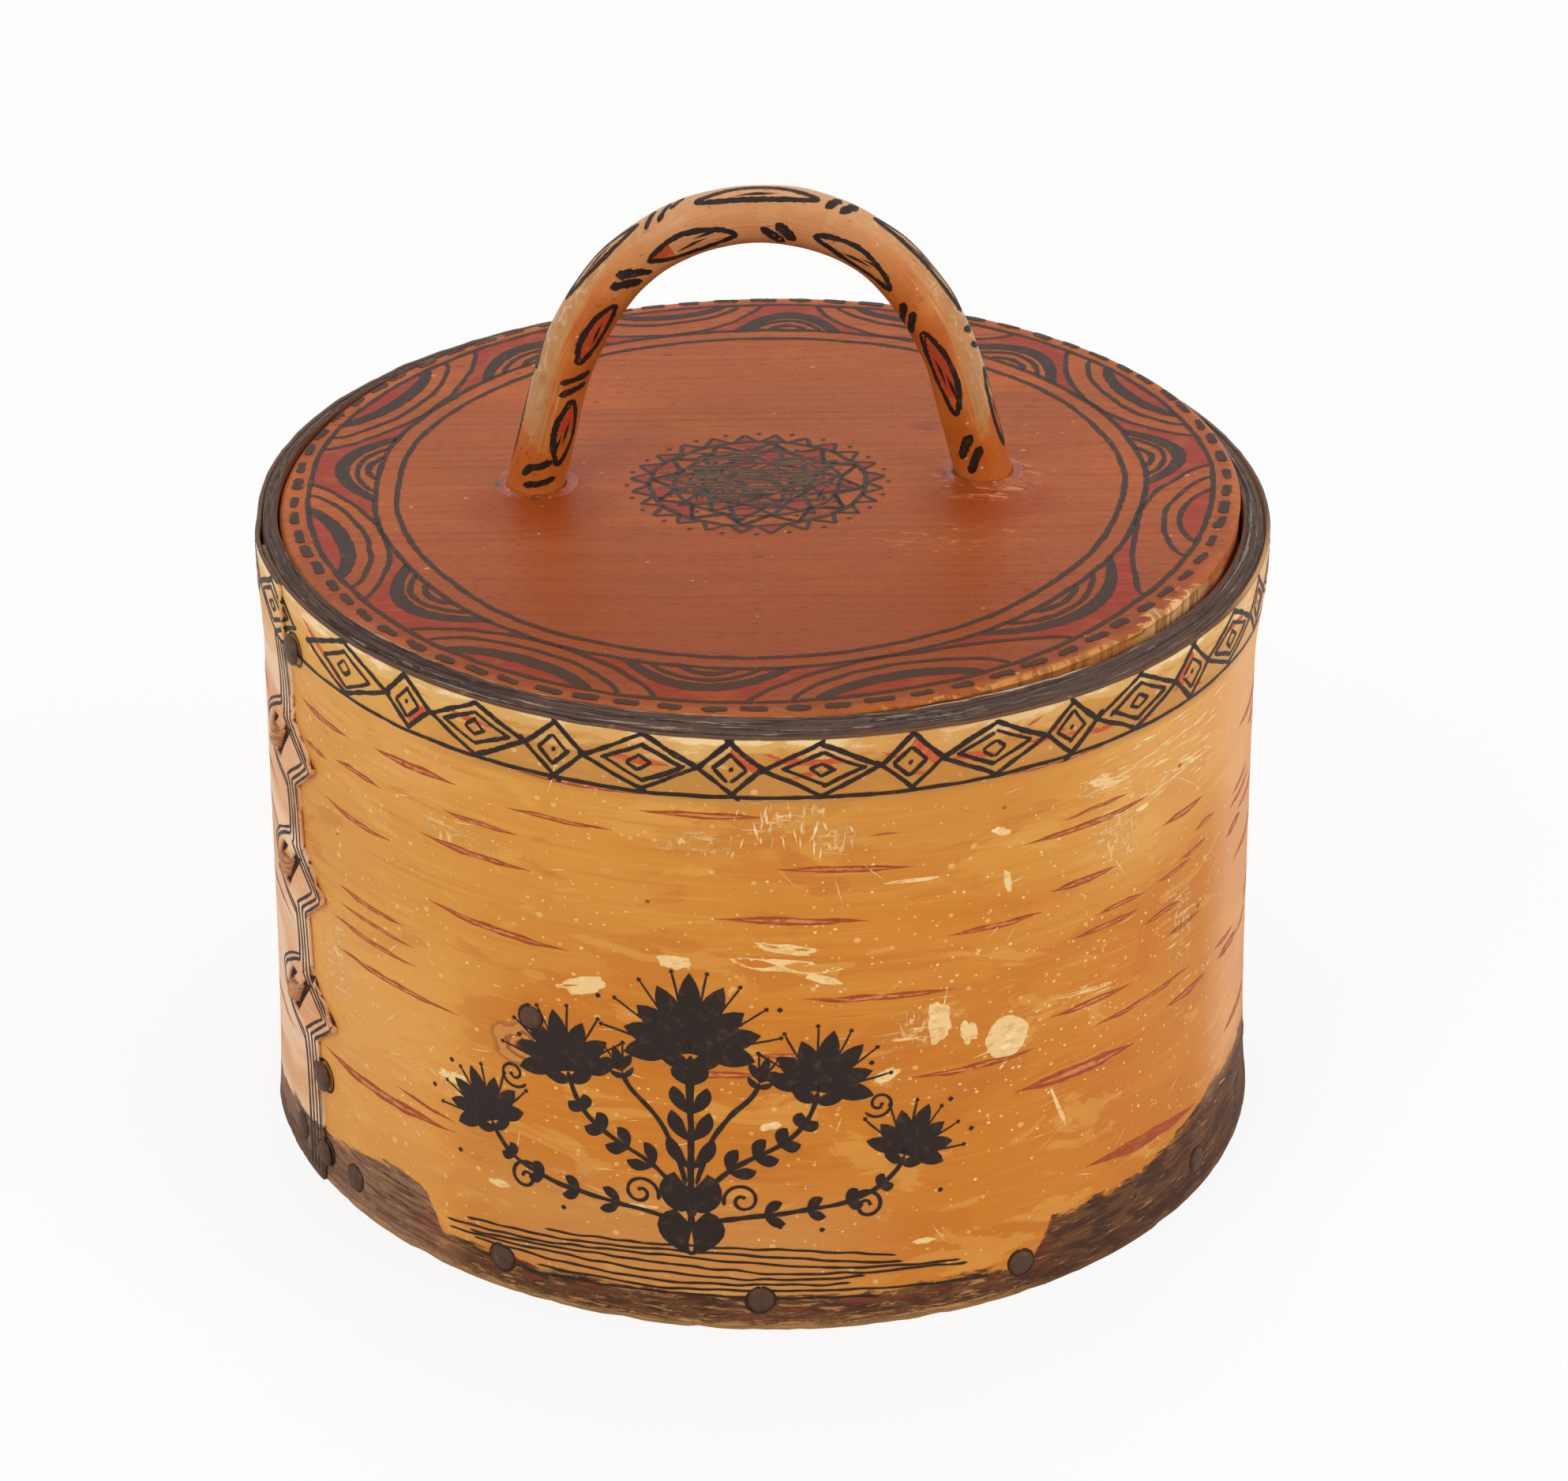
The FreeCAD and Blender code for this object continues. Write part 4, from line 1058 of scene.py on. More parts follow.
for number in range(8):
    level = 17.0 - 1.5 * number
    half = 50.0 + 1.6 * number
    drop = 5.2 - 0.5 * number
    line = [(BOUQUET_MIDDLE + half * t, level - drop * t * t + 0.4 * math.sin(5.0 * t + number))
            for t in [i / 16.0 - 1.0 for i in range(33)]]
    start = hand.randint(0, 9)
    stop = 33 - hand.randint(0, 9)
    stroke(bouquet_bm, line[start:stop], 0.5, on_wall, wobble=0.35, seed=number * 3.0)
new_piece("ink_bouquet", bouquet_bm, wall_ink, "box", "bark_sheet")


# Marks in the bark: long pointed pores, red-brown with a paler heart, pale scraped patches where
# the varnish is gone, pale dots, and short scratches that run any way.
pore_bm = bmesh.new()
heart_of_pore_bm = bmesh.new()
bare_bm = bmesh.new()
wear_hand = random.Random(21)


def pore(start, end, height, thick, end_height=None, dark=False):
    """A long pore between two turns in degrees, with ragged edges. A thick one has a heart."""
    last = height if end_height is None else end_height
    first, stop = start * MM_PER_DEGREE, end * MM_PER_DEGREE
    bow = wear_hand.uniform(-0.35, 0.35)
    path = [(first + (stop - first) * t, height + (last - height) * t + bow * math.sin(math.pi * t))
            for t in (0.0, 0.25, 0.5, 0.75, 1.0)]
    stroke(pore_bm, path, thick, on_wall, lift=0.03, step=0.7, wobble=0.3, seed=start + height, pointed=0.3)
    if thick > 0.75 and not dark:
        inside = [(x + share * (stop - first), y)
                  for share, (x, y) in zip((0.12, 0.0, 0.0, 0.0, -0.12), path)]
        stroke(heart_of_pore_bm, inside, thick * 0.42, on_wall, lift=0.045, step=0.7, wobble=0.3,
               seed=start + height, pointed=0.4)


def bare_patch(turn, height, wide, tall, lean, seed, rough=0.4):
    """A ragged pale patch, wide and tall in millimetres."""
    middle = turn * MM_PER_DEGREE
    rim = []
    for i in range(40):
        a = 2.0 * math.pi * i / 40
        reach = 1.0 + rough * noise.noise(Vector((math.cos(a) * 1.6, math.sin(a) * 1.6, seed)))
        reach += 0.6 * rough * noise.noise(Vector((math.cos(a) * 7.0, math.sin(a) * 7.0, seed)))
        x, y = 0.5 * wide * reach * math.cos(a), 0.5 * tall * reach * math.sin(a)
        rim.append(bare_bm.verts.new(on_wall(middle + x - lean * y, height + y + lean * x, 0.025)))
    centre = bare_bm.verts.new(on_wall(middle, height, 0.025))
    for a, b in zip(rim, rim[1:] + rim[:1]):
        bare_bm.faces.new((centre, a, b))


# The larger pores: first and last turn, height, thickness and, on a slant, the height at the end. The
# last of them is dark all through.
LONG_PORES = [
    (-63, -52, 100.8, 1.2), (-47, -34.5, 102.1, 1.4), (-55, -46, 94.5, 1.0), (-62.5, -57, 92.8, 0.9),
    (-36.5, -26.5, 96, 0.9), (-28, -15.5, 100.7, 0.9), (-26.5, -12, 109.0, 1.0), (-12.5, 1, 105.7, 1.3),
    (-40, -25, 89.3, 1.2), (-57.5, -44.5, 84.5, 0.9), (-39, -20.5, 76.3, 1.3, 74.9), (-55, -43, 68.2, 1.0),
    (-55, -41.5, 64.6, 0.8), (-57, -41, 61, 0.9), (-56, -35, 54.6, 1.1), (-60, -36, 29.3, 2.0),
    (-45, -36, 33, 0.7, 31.4), (-9.5, 1, 53.7, 1.4), (-4.5, 12, 85.2, 1.5, 84.1), (2, 17, 95.3, 1.3, 94),
    (27, 39.5, 109.0, 1.1), (12, 15, 101, 0.4), (30, 48, 93.8, 1.2), (21, 32.5, 78.9, 1.2),
    (33.5, 43, 82.5, 1.3), (51, 59.5, 85.7, 1.3), (40, 48, 74, 1.0), (50.5, 57, 74.3, 1.0),
    (55, 61, 75.8, 0.9), (58, 63, 79.4, 0.9), (37, 47, 71.3, 1.1), (48, 55, 66.9, 1.2),
    (52.5, 60, 61.3, 1.0), (34, 46, 56.3, 1.2), (40, 58, 51, 1.0), (5, 22, 69, 1.3, 67.8),
    (17, 32, 50.9, 1.2), (53, 62, 46, 1.5), (29.5, 47, 42.8, 2.4), (0, 6, 57.7, 1.0), (35, 45, 96.2, 0.8),
    (-86, -70, 70, 0.8, 66), (-84, -67, 52, 0.9, 50.5), (-88, -74, 95, 1.0, 93), (-83, -69, 27, 0.9, 25),
    (-88, -77, 105, 0.9, 104), (-86, -72, 78, 0.7, 75), (39.5, 60.0, 21.2, 2.4, 18.8, True),
]
for placed in LONG_PORES:
    pore(*placed)
for number in range(115):
    at = wear_hand.uniform(64.0, 262.0)
    level = wear_hand.uniform(18.0, 108.0)
    long = wear_hand.uniform(5.0, 16.0)
    pore(at, at + long, level, wear_hand.uniform(0.7, 1.7), level + wear_hand.uniform(-1.0, 1.0))

# The larger bare patches: turn, height, how wide and how tall, lean, seed and, for the first, how
# ragged it is.
BARE_PATCHES = [
    (28.3, 55.2, 8.8, 8.6, 0, 2, 0.12), (3.2, 79.4, 11, 1.8, -0.14, 3), (2.5, 76, 18, 2.8, -0.1, 4),
    (7, 73, 7, 1.5, -0.3, 5), (-19, 68.5, 10, 3, 0.3, 6), (-8.8, 76, 6, 3, 0, 7), (20, 61.5, 5, 8, 0, 8),
    (23.5, 58, 3, 5, 0.2, 9), (56, 95.7, 18, 1.6, -0.1, 10), (41, 101, 10, 1.8, -0.25, 11),
    (47, 92, 3.6, 1, 0, 12), (-36, 41, 7, 2.4, 0, 13), (17, 91.2, 10, 0.8, -0.03, 14),
    (27, 97.7, 3.6, 1.3, -0.4, 15), (28, 87.5, 1.4, 5, 0.2, 16), (35.3, 37, 0.8, 9, 0.4, 17),
    (38.8, 59.2, 14, 0.8, -0.1, 18), (-6, 48, 1.6, 3, 0, 19), (1.5, 43, 4, 1.6, 0.3, 20),
    (14, 52, 5, 2, 0.4, 22), (-30, 22, 5, 1.4, 0, 23), (-13, 24, 6, 1.2, 0.1, 24),
    (18.5, 16, 4, 1.2, 0, 25),
]
for placed in BARE_PATCHES:
    bare_patch(*placed)
for number in range(26):
    turn = wear_hand.uniform(-3.0, 10.0)
    level = wear_hand.uniform(98.0, 108.5)
    end = ((turn + wear_hand.uniform(-0.6, 0.6)) * MM_PER_DEGREE, level - wear_hand.uniform(1.0, 4.5))
    stroke(bare_bm, [(turn * MM_PER_DEGREE, level), end], wear_hand.uniform(0.2, 0.6), on_wall,
           lift=0.03, wobble=0.3, seed=number * 1.1, pointed=0.4)
for number in range(520):
    turn = wear_hand.gauss(36.0, 17.0) if number % 2 else wear_hand.uniform(-58.0, 282.0)
    level = wear_hand.gauss(62.0, 20.0)
    across = turn * MM_PER_DEGREE
    on_flap = flap_lift(across, level) or flap_lift((turn - 360.0) * MM_PER_DEGREE, level)
    if on_flap or not 18.0 < level < 107.0:
        continue
    wide = wear_hand.uniform(0.25, 0.8)
    stroke(bare_bm, [(across - 0.5 * wide, level), (across + 0.5 * wide, level)], wide * 0.9, on_wall,
           lift=0.025, step=0.2, wobble=0.0)
for number in range(230):
    x = wear_hand.uniform(-0.5, 0.5) * ROUND
    y = wear_hand.uniform(16.0, 108.0)
    slope = wear_hand.choice((wear_hand.uniform(-0.3, 0.3), wear_hand.uniform(-1.5, 1.5)))
    length = wear_hand.uniform(1.5, 7.0) * (2.2 if wear_hand.random() < 0.1 else 1.0)
    finish_x = x + length * math.cos(slope)
    finish_y = min(max(y + length * math.sin(slope), 4.0), 118.0)
    if flap_lift(x, y) or flap_lift(finish_x, finish_y):
        continue
    stroke(bare_bm, [(x, y), (finish_x, finish_y)], wear_hand.uniform(0.1, 0.26), on_wall, lift=0.03,
           wobble=0.3, seed=number * 1.7, pointed=0.4)
for number in range(46):
    first = wear_hand.uniform(38.0, 60.0) * MM_PER_DEGREE
    level = wear_hand.uniform(92.0, 107.0)
    long = wear_hand.uniform(2.0, 9.0) * (2.0 if number % 6 == 0 else 1.0)
    climb = wear_hand.uniform(-0.04, 0.12) * long
    stroke(bare_bm, [(first, level), (first + long, level + climb)], wear_hand.uniform(0.15, 0.55), on_wall,
           lift=0.03, step=0.4, wobble=0.4, seed=number * 2.3, pointed=0.4, rough=0.5)

# Dark rings round the tack heads: rust that bled from the tacks into the bark, and painted shade of the gap
# under each head's edge.
rust_and_shade_bm = bmesh.new()
for turn, height, head, _, _ in BASE_TACKS + SEAM_TACKS + KNOT_TACKS:
    turn = (turn + 180.0) % 360.0 - 180.0
    ring = [(turn * MM_PER_DEGREE + 0.53 * head * math.sin(math.radians(12 * i)),
             height + 0.53 * head * math.cos(math.radians(12 * i))) for i in range(31)]
    stroke(rust_and_shade_bm, ring, 0.6, on_wall, lift=0.04, step=0.4, wobble=0.4, seed=turn, rough=0.3)
rust_and_shade_ring = ink_finish("rust_and_shade_ring", (52, 36, 26), (92, 58, 36), 0.8)
new_piece("tack_rust_and_shade_rings", rust_and_shade_bm, rust_and_shade_ring, "box", "bark_sheet")

pore_skin = Finish("pore_skin", (160, 74, 34), roughness=0.5, gloss=0.14)
skin_place = pore_skin.place()
skin_clouds = pore_skin.clouds(skin_place, (2.4, 2.4, 0.7), detail=5.0, rough=0.7)
skin_grain = pore_skin.clouds(skin_place, (1.4, 1.4, 0.5), detail=4.0, rough=0.7)
pore_skin.coat((190, 102, 50), skin_clouds.over(0.5, 0.66) * 0.8)
pore_skin.coat((118, 52, 28), skin_grain.over(0.46, 0.34) * 0.7)
pore_heart = Finish("pore_heart", (206, 130, 78), roughness=0.5, gloss=0.14)
heart_clouds = pore_heart.clouds(pore_heart.place(), (1.6, 1.6, 0.6), detail=4.0)
pore_heart.coat((170, 86, 44), heart_clouds.over(0.5, 0.6) * 0.9)
bare_bark = Finish("bare_bark", (238, 200, 138), roughness=0.6, gloss=0.14)
bare_place = bare_bark.place()
bare_clouds = bare_bark.clouds(bare_place, (3.0, 3.0, 1.2), detail=5.0, rough=0.7)
bare_blotch = bare_bark.clouds(bare_place, (5.0, 5.0, 2.0), detail=4.0, rough=0.6)
bare_bark.coat((222, 166, 94), bare_clouds.over(0.5, 0.62) * 0.8)
bare_bark.coat((250, 232, 190), bare_blotch.over(0.55, 0.7) * 0.7)
new_piece("bark_pores", pore_bm, pore_skin, "box", "bark_sheet")
new_piece("bark_pore_hearts", heart_of_pore_bm, pore_heart, "box", "bark_sheet")
new_piece("bark_bare_patches", bare_bm, bare_bark, "box", "bark_sheet")


# Lid board: a disc of slow-grown pine, stained orange-brown and varnished, its edge whittled. It
# drops inside the rim and lies a little askew, highest at the right.
LID_TILT = math.radians(1.61)
LID_RISE_TURN = math.radians(106.0)
LID_THICKNESS = 12.0
LID_RADIUS = 90.5
LID_TRIM = 0.75
EDGE_FROM = 88.2
SEAT_HEIGHT = 112.1
HANDLE_SPAN = 84.2
HANDLE_OFFSET = 5.5
HANDLE_TURN = math.radians(2.0)
LEG_LEAN = math.radians(14.0)
HOLE_RADIUS = 5.75
tilt_axis = (-math.cos(LID_RISE_TURN), -math.sin(LID_RISE_TURN), 0.0)
lid_frame = Matrix.Translation((0.0, 0.0, SEAT_HEIGHT)) @ Matrix.Rotation(LID_TILT, 4, tilt_axis)
handle_plane = Matrix.Translation((0.0, HANDLE_OFFSET, 0.0)) @ Matrix.Rotation(HANDLE_TURN, 4, "Z")


def lid_point(x, y, height):
    """A point of the lid in millimetres, in its own frame: height is above its underside."""
    return (lid_frame @ Vector((x, y, height))) * MM


def trimmed(x, y):
    """The disc was whittled a little narrower at its left and right."""
    radius = max(math.hypot(x, y), 1e-6)
    kept = 1.0 - LID_TRIM * (x / radius) ** 2 * rise(radius, 88.5, LID_RADIUS) / radius
    return x * kept, y * kept


def lid_top(x, y, lift=0.0):
    """A point on the lid's upper face, which is a little cupped, and worn round at its edge with
    chips at the front right."""
    cup = -0.25 * (1.0 - (x * x + y * y) / LID_RADIUS ** 2)
    sway = 0.12 * noise.noise(Vector((x / 60.0, y / 22.0, 4.0)))
    turn = math.atan2(x, -y)
    edge = max(0.0, (math.hypot(x, y) - EDGE_FROM) / (LID_RADIUS - EDGE_FROM))
    worn = 0.5 + 0.3 * noise_round(turn, 3.0, 0.0)
    chip = max(0.0, noise_round(turn, 16.0, 6.0) - 0.15)
    chip *= 1.8 * (rise(turn, 0.15, 0.5) * (1.0 - rise(turn, 1.1, 1.5)) + 0.2)
    drop = worn * edge ** 3 + chip * edge ** 2
    x, y = trimmed(x, y)
    return lid_point(x, y, LID_THICKNESS + cup + sway - drop + lift)


lid_rings = [LID_RADIUS * (i / 22.0) for i in range(22)]
lid_rings += [LID_RADIUS - inward for inward in (2.5, 1.7, 1.0, 0.5, 0.2, 0.0)]
lid_profile = [Vector((r, 0.0, LID_THICKNESS)) for r in lid_rings]
lid_profile += [Vector((LID_RADIUS, 0.0, LID_THICKNESS - 0.8 - 1.1 * i)) for i in range(10)]
lid_profile += [Vector((r, 0.0, 0.0)) for r in (LID_RADIUS - 0.5, 80.0, 60.0, 40.0, 20.0, 0.0)]
lid_bm = spun(lid_profile, 360)
for vert in lid_bm.verts:
    x, y, height = vert.co
    if height > LID_THICKNESS - 0.5:
        vert.co = lid_top(x, y)
    elif height > 1.0:
        whittle = 0.3 * noise_round(math.atan2(x, -y), 9.0, height / 20.0)
        x, y = trimmed(x, y)
        shrink = 1.0 + (whittle - 0.25 - 0.03 * (LID_THICKNESS - height)) / LID_RADIUS
        vert.co = lid_point(x * shrink, y * shrink, height)
    else:
        vert.co = lid_point(x * 0.99, y * 0.99, height)

pine = Finish("varnished_pine", (160, 82, 42), roughness=0.42, gloss=0.09)
pine_place = pine.place()
pine_x, pine_y, pine_z = pine.axes(pine_place)
pine_warp = pine.clouds(pine_place, (90.0, 40.0, 40.0), detail=2.0)
ring_place = pine.joined(pine_x * 0.004, pine_y * 0.55 + pine_warp * 3.0 + pine_z * 0.16, pine_warp)
pine_rings = pine.clouds(ring_place, (1.0, 1.0, 1.0), detail=3.0, rough=0.6)
pine_fibre = pine.clouds(pine_place, (22.0, 0.42, 0.6), detail=4.0, rough=0.65)
pine_blotch = pine.clouds(pine_place, (60.0, 34.0, 34.0), detail=5.0, rough=0.55, warp=0.6)
pine.coat((180, 96, 46), pine_blotch.over(0.5, 0.7) * 0.7)
pine.coat((150, 74, 44), pine_blotch.over(0.46, 0.3) * 0.6)
pine.coat((142, 70, 38), pine_rings.over(0.5, 0.68) * 0.5)
pine.coat((182, 100, 56), pine_rings.over(0.42, 0.26) * 0.4)
# Darker and more orange towards the front: painted shade, where the varnish shows less sheen than at the
# back.
pine.coat((138, 62, 28), pine_y.over(10.0, -55.0) * 0.55)
late_wood = ((pine_y + pine_z * 0.3) * 2.1 + pine_warp * 24.0 + pine_blotch * 5.0 + pine_rings * 2.0).wave()
pine.coat((112, 50, 28), late_wood.over(0.55, 1.0).both(pine_rings.over(0.4, 0.54)) * 0.24)
pine.coat((120, 56, 30), pine_fibre.over(0.56, 0.78) * 0.6)
pine.coat((196, 112, 60), pine_fibre.over(0.4, 0.24) * 0.3)
pine_radius = (pine_x * pine_x + pine_y * pine_y).root()
edge_gold = pine.clouds(pine_place, (18.0, 18.0, 18.0), detail=5.0, rough=0.6, shift=(2.0, 7.0, 0.0))
pine.coat((184, 104, 54), (pine_radius.over(85.0, 90.0) * 0.36 + edge_gold).over(0.62, 0.9) * 0.55)
# In front of each foot, a deeper orange: painted reflection of the orange leg in the varnish.
for side, dark in ((-1, 0.8), (1, 0.85)):
    painted_leg_reflection = oval(pine_x, pine_y, (side * 0.5 * HANDLE_SPAN, HANDLE_OFFSET - 13.0), (0.055, 0.07))
    pine.coat((146, 62, 20), (painted_leg_reflection + (pine_blotch - 0.5)).over(1.0, 0.1) * dark)
smudge = pine.clouds(pine_place, (7.0, 4.0, 5.0), detail=5.0, rough=0.7, warp=0.8, shift=(1.0, 6.0, 0.0))
smudge += oval(pine_x, pine_y, (34.0, 26.0), (0.08, 0.12)).over(1.2, 0.0) * 0.25
pine.coat((120, 56, 38), smudge.over(0.66, 0.84) * 0.6)
scuffed = pine.clouds(pine_place, (5.0, 1.6, 3.0), detail=6.0, rough=0.75, warp=1.0, shift=(5.0, 2.0, 0.0))
scuffed_front = oval(pine_x, pine_y, (36.0, -22.0), (0.045, 0.12)).over(1.2, 0.0) * 0.14 + scuffed
pine.coat((210, 140, 72), scuffed_front.over(0.65, 0.8) * 0.7)
veil = oval(pine_x, pine_y, (-0.4, 3.5), (0.048, 0.053)).over(1.0, 0.1) + (pine_blotch - 0.5)
pine.coat((112, 70, 50), veil.over(0.1, 1.1) * 0.6)
right_foot = oval(pine_x, pine_y, (0.5 * HANDLE_SPAN, HANDLE_OFFSET - 2.0), (0.1, 0.1)).over(1.3, 0.6)
pine.coat((214, 152, 120), right_foot.both(scuffed.over(0.5, 0.62)) * 0.6)
# The top's height at its middle, and how much it climbs to the right and to the back.
TOP_HEIGHT = SEAT_HEIGHT + LID_THICKNESS
TOP_CLIMB = (0.027, 0.0078)
level_z = pine_z - pine_x * TOP_CLIMB[0] - pine_y * TOP_CLIMB[1]
side_wood = level_z.over(TOP_HEIGHT - 0.5, TOP_HEIGHT - 1.2)
bare_noise = pine.clouds(pine_place, (7.0, 7.0, 5.0), detail=5.0, rough=0.7, warp=0.8)
front_side = pine_y.over(-20.0, -52.0).both(pine_x.over(10.0, 45.0))
front_right = front_side.both(pine_x.over(58.0, 66.0)).both(pine_radius.over(86.2, 88.4))
bare = (bare_noise + front_side * 0.24 + pine_radius.over(87.6, 90.2) * 0.12).over(0.76, 0.84)
bare = bare.both(pine_radius.over(88.3, 89.6).either(front_right))
pine.coat((206, 146, 96), bare)
end_place = pine.joined(pine_x * 0.8 + pine_y * 0.35, pine_z * 0.06)
end_rings = pine.clouds(end_place, (1.0, 1.0, 1.0), detail=3.0)
worn_side = side_wood.both((bare_noise + front_side * 0.3).over(0.5, 0.68))
chip_side = pine_x.over(64.0, 72.0).both(pine_y.over(-36.0, -44.0))
pine.coat((180, 96, 54), side_wood * 0.7)
pine.coat((200, 138, 96), worn_side * 0.75)
pine.coat((232, 188, 152), worn_side.either(bare).both(chip_side) * 0.8)
pine.coat((150, 96, 56), end_rings.over(0.5, 0.62).both(worn_side.either(bare)) * 0.8)
pale_flecks = pine.spots(pine_place, (5.0, 3.4, 5.0), 0.08, 0.1, 0.05, 0.9)
dust = pine.spots(pine_place, (2.4, 1.8, 3.0), 0.06, 0.09, 0.04, 0.88, shift=(7.0, 3.0, 0.0))
pits = pine.spots(pine_place, (4.0, 1.4, 3.0), 0.1, 0.2, 0.1, 0.82, shift=(1.0, 9.0, 0.0))
dark_flecks = pine.spots(pine_place, (16.0, 5.0, 9.0), 0.05, 0.08, 0.03, 0.7, shift=(3.0, 1.0, 0.0))
pine.coat((226, 160, 106), pale_flecks * 0.6)
pine.coat((228, 184, 144), dust * 0.6)
pine.coat((104, 50, 34), pits * 0.5)
pine.coat((98, 46, 30), dark_flecks * 0.7)
# Between these two places, front to back, the lid's front is painted darker and warmer: painted shade where
# its varnish shows less sheen than at the back.
PAINTED_SHADE_FRONT = (-20.0, -76.0)
pine.coat((255, 250, 226), 1.0, "MULTIPLY")
pine.coat((240, 234, 204), pine_y.over(*PAINTED_SHADE_FRONT), "MULTIPLY")
pine.relief(pine_rings + pine_fibre, 0.10)
pine_grit = pine.clouds(pine_place, (1.8, 1.2, 1.8), detail=4.0, rough=0.7, shift=(3.0, 8.0, 0.0))
pine.coat((126, 62, 38), pine_grit.over(0.64, 0.74).both(pine_blotch.over(0.42, 0.56)) * 0.5)
pine.relief(pine_grit.over(0.5, 0.8), 0.16)
pine.relief(pine_blotch, 0.5)
pine.dullness(pine_blotch * 0.16 + 0.3 + side_wood * 0.3)

# The two holes for the twig, drilled on a slant and chipped at their mouths.
hole_bm = bmesh.new()
for side in (-1, 1):
    hole = bmesh.ops.create_cone(hole_bm, cap_ends=True, segments=40, radius1=HOLE_RADIUS,
                                 radius2=HOLE_RADIUS, depth=60.0)
    stand = lid_frame @ handle_plane @ Matrix.Translation((side * 0.5 * HANDLE_SPAN, 0.0, LID_THICKNESS))
    stand = stand @ Matrix.Rotation(-side * LEG_LEAN, 4, "Y")
    for vert in hole["verts"]:
        chipped = 1.0 + 0.06 * noise.noise(Vector((vert.co.x / 2.0, vert.co.y / 2.0, side)))
        outward = 1.0 + 0.16 * rise(side * vert.co.x, 2.0, 5.0) * rise(4.0 - abs(vert.co.y), 0.0, 3.0)
        vert.co = (stand @ Vector((vert.co.x * chipped * outward, vert.co.y * chipped, vert.co.z))) * MM
holes = add_object("handle_holes", mesh_from("handle_holes", hole_bm))
lid_piece = new_piece("lid_board_top", lid_bm, pine, "lid", "lid_pine", "lid_board")
drilled = lid_piece.modifiers.new("holes", "BOOLEAN")
drilled.object = holes
drilled.operation = "DIFFERENCE"
bpy.context.view_layer.update()
evaluated = lid_piece.evaluated_get(bpy.context.evaluated_depsgraph_get())
drilled_mesh = bpy.data.meshes.new_from_object(evaluated)
lid_piece.modifiers.remove(drilled)
lid_piece.data = drilled_mesh
bpy.data.objects.remove(holes)


# Lid painting: a ring of dashes, a wave of red between two black lines with leaves in its
# hollows, one more ring, and a rosette in the middle, all in ink and red crayon.
def on_lid(turn, radius, lift):
    """Round the lid in degrees from the front towards the right, and out from its middle."""
    a = math.radians(turn)
    return lid_top(radius * math.sin(a), 0.4 - radius * math.cos(a), lift)


# The border was drawn by eye: how far it strays inwards, at places round it in degrees.
BORDER_DRIFT = [(-180, 0.0), (-140, -0.8), (-112, -0.6), (-88, 1.2), (-62, 2.2), (-22, 0.6), (0, 0.2),
                (22, 0.6), (54, 2.2), (74, 1.9), (100, 0.3), (130, -0.1), (180, 0.0)]


def border_drift(turn):
    turn = (turn + 180.0) % 360.0 - 180.0
    for (start, low), (finish, high) in zip(BORDER_DRIFT, BORDER_DRIFT[1:]):
        if turn <= finish:
            return low + (high - low) * rise(turn, start, finish)
    return 0.0


def on_border(along, inward, lift):
    """Along the border's outer ring in millimetres, and inward from it."""
    turn = math.degrees(along / RING_OUTER)
    return on_lid(turn, RING_OUTER - inward - border_drift(turn), lift)


RING_OUTER = 85.8
BORDER_DEPTH = 12.6
RING_INNER = RING_OUTER - BORDER_DEPTH
THIRD_RING = 69.2
DASHES = 74
lid_ink = ink_finish("lid_ink", (50, 37, 32), (104, 60, 40), 0.7)
lid_red = Finish("red_crayon", (142, 50, 34), roughness=0.45, gloss=0.1)
red_place = lid_red.place()
lid_red.coat((158, 74, 44), lid_red.clouds(red_place, (14.0, 0.6, 2.0), detail=4.0).over(0.48, 0.7) * 0.7)
lid_red.coat((158, 80, 46), lid_red.clouds(red_place, (5.0, 5.0, 5.0), detail=4.0).over(0.5, 0.7) * 0.6)
# The lid's ink and red are painted darker and warmer towards the front: painted shade, where they show less
# sheen than at the back.
for finish in (lid_ink, lid_red):
    finish.coat((238, 226, 160), finish.axes(finish.place())[1].over(*PAINTED_SHADE_FRONT), "MULTIPLY")
lid_ink.coat((66, 34, 16), lid_ink.axes(lid_ink.place())[1].over(*PAINTED_SHADE_FRONT) * 0.6)
border_bm = bmesh.new()
red_bm = bmesh.new()
border_hand = random.Random(11)


def ink_line(line, width, seed, wobble=0.35):
    stroke(border_bm, line, width, on_border, step=0.4, wobble=wobble, seed=seed, rough=0.3)


for ring_radius, line_width, shift in ((RING_OUTER, 1.0, 1.0), (RING_INNER, 1.05, 2.0),
                                       (THIRD_RING, 1.05, 3.0)):
    inward = RING_OUTER - ring_radius
    ring = [(RING_OUTER * turn, inward + 0.35 * noise_round(turn, 3.0, shift))
            for turn in [math.radians(1.5 * i) for i in range(241)]]
    ink_line(ring, line_width, shift, wobble=0.2)
for number in range(DASHES):
    centre = 2.0 * math.pi * RING_OUTER * (number + border_hand.uniform(-0.1, 0.1)) / DASHES
    length = border_hand.uniform(4.0, 5.3)
    inward = -2.6 + border_hand.uniform(-0.2, 0.2)
    lean = border_hand.uniform(-0.1, 0.3)
    stroke(border_bm, [(centre - 0.5 * length, inward + lean), (centre + 0.5 * length, inward - lean)],
           border_hand.uniform(1.35, 1.9), on_border, lift=0.14, step=0.3, wobble=0.2, seed=number * 2.1,
           rough=0.4, blunt=0.3)


def arch(centre, half, crown):
    """An arch from foot to foot over its crown, as places along and inward."""
    return [(centre + half * (2.0 * t - 1.0),
             BORDER_DEPTH + (crown - BORDER_DEPTH) * math.sin(math.pi * t) ** 0.8)
            for t in [i / 24 for i in range(25)]]


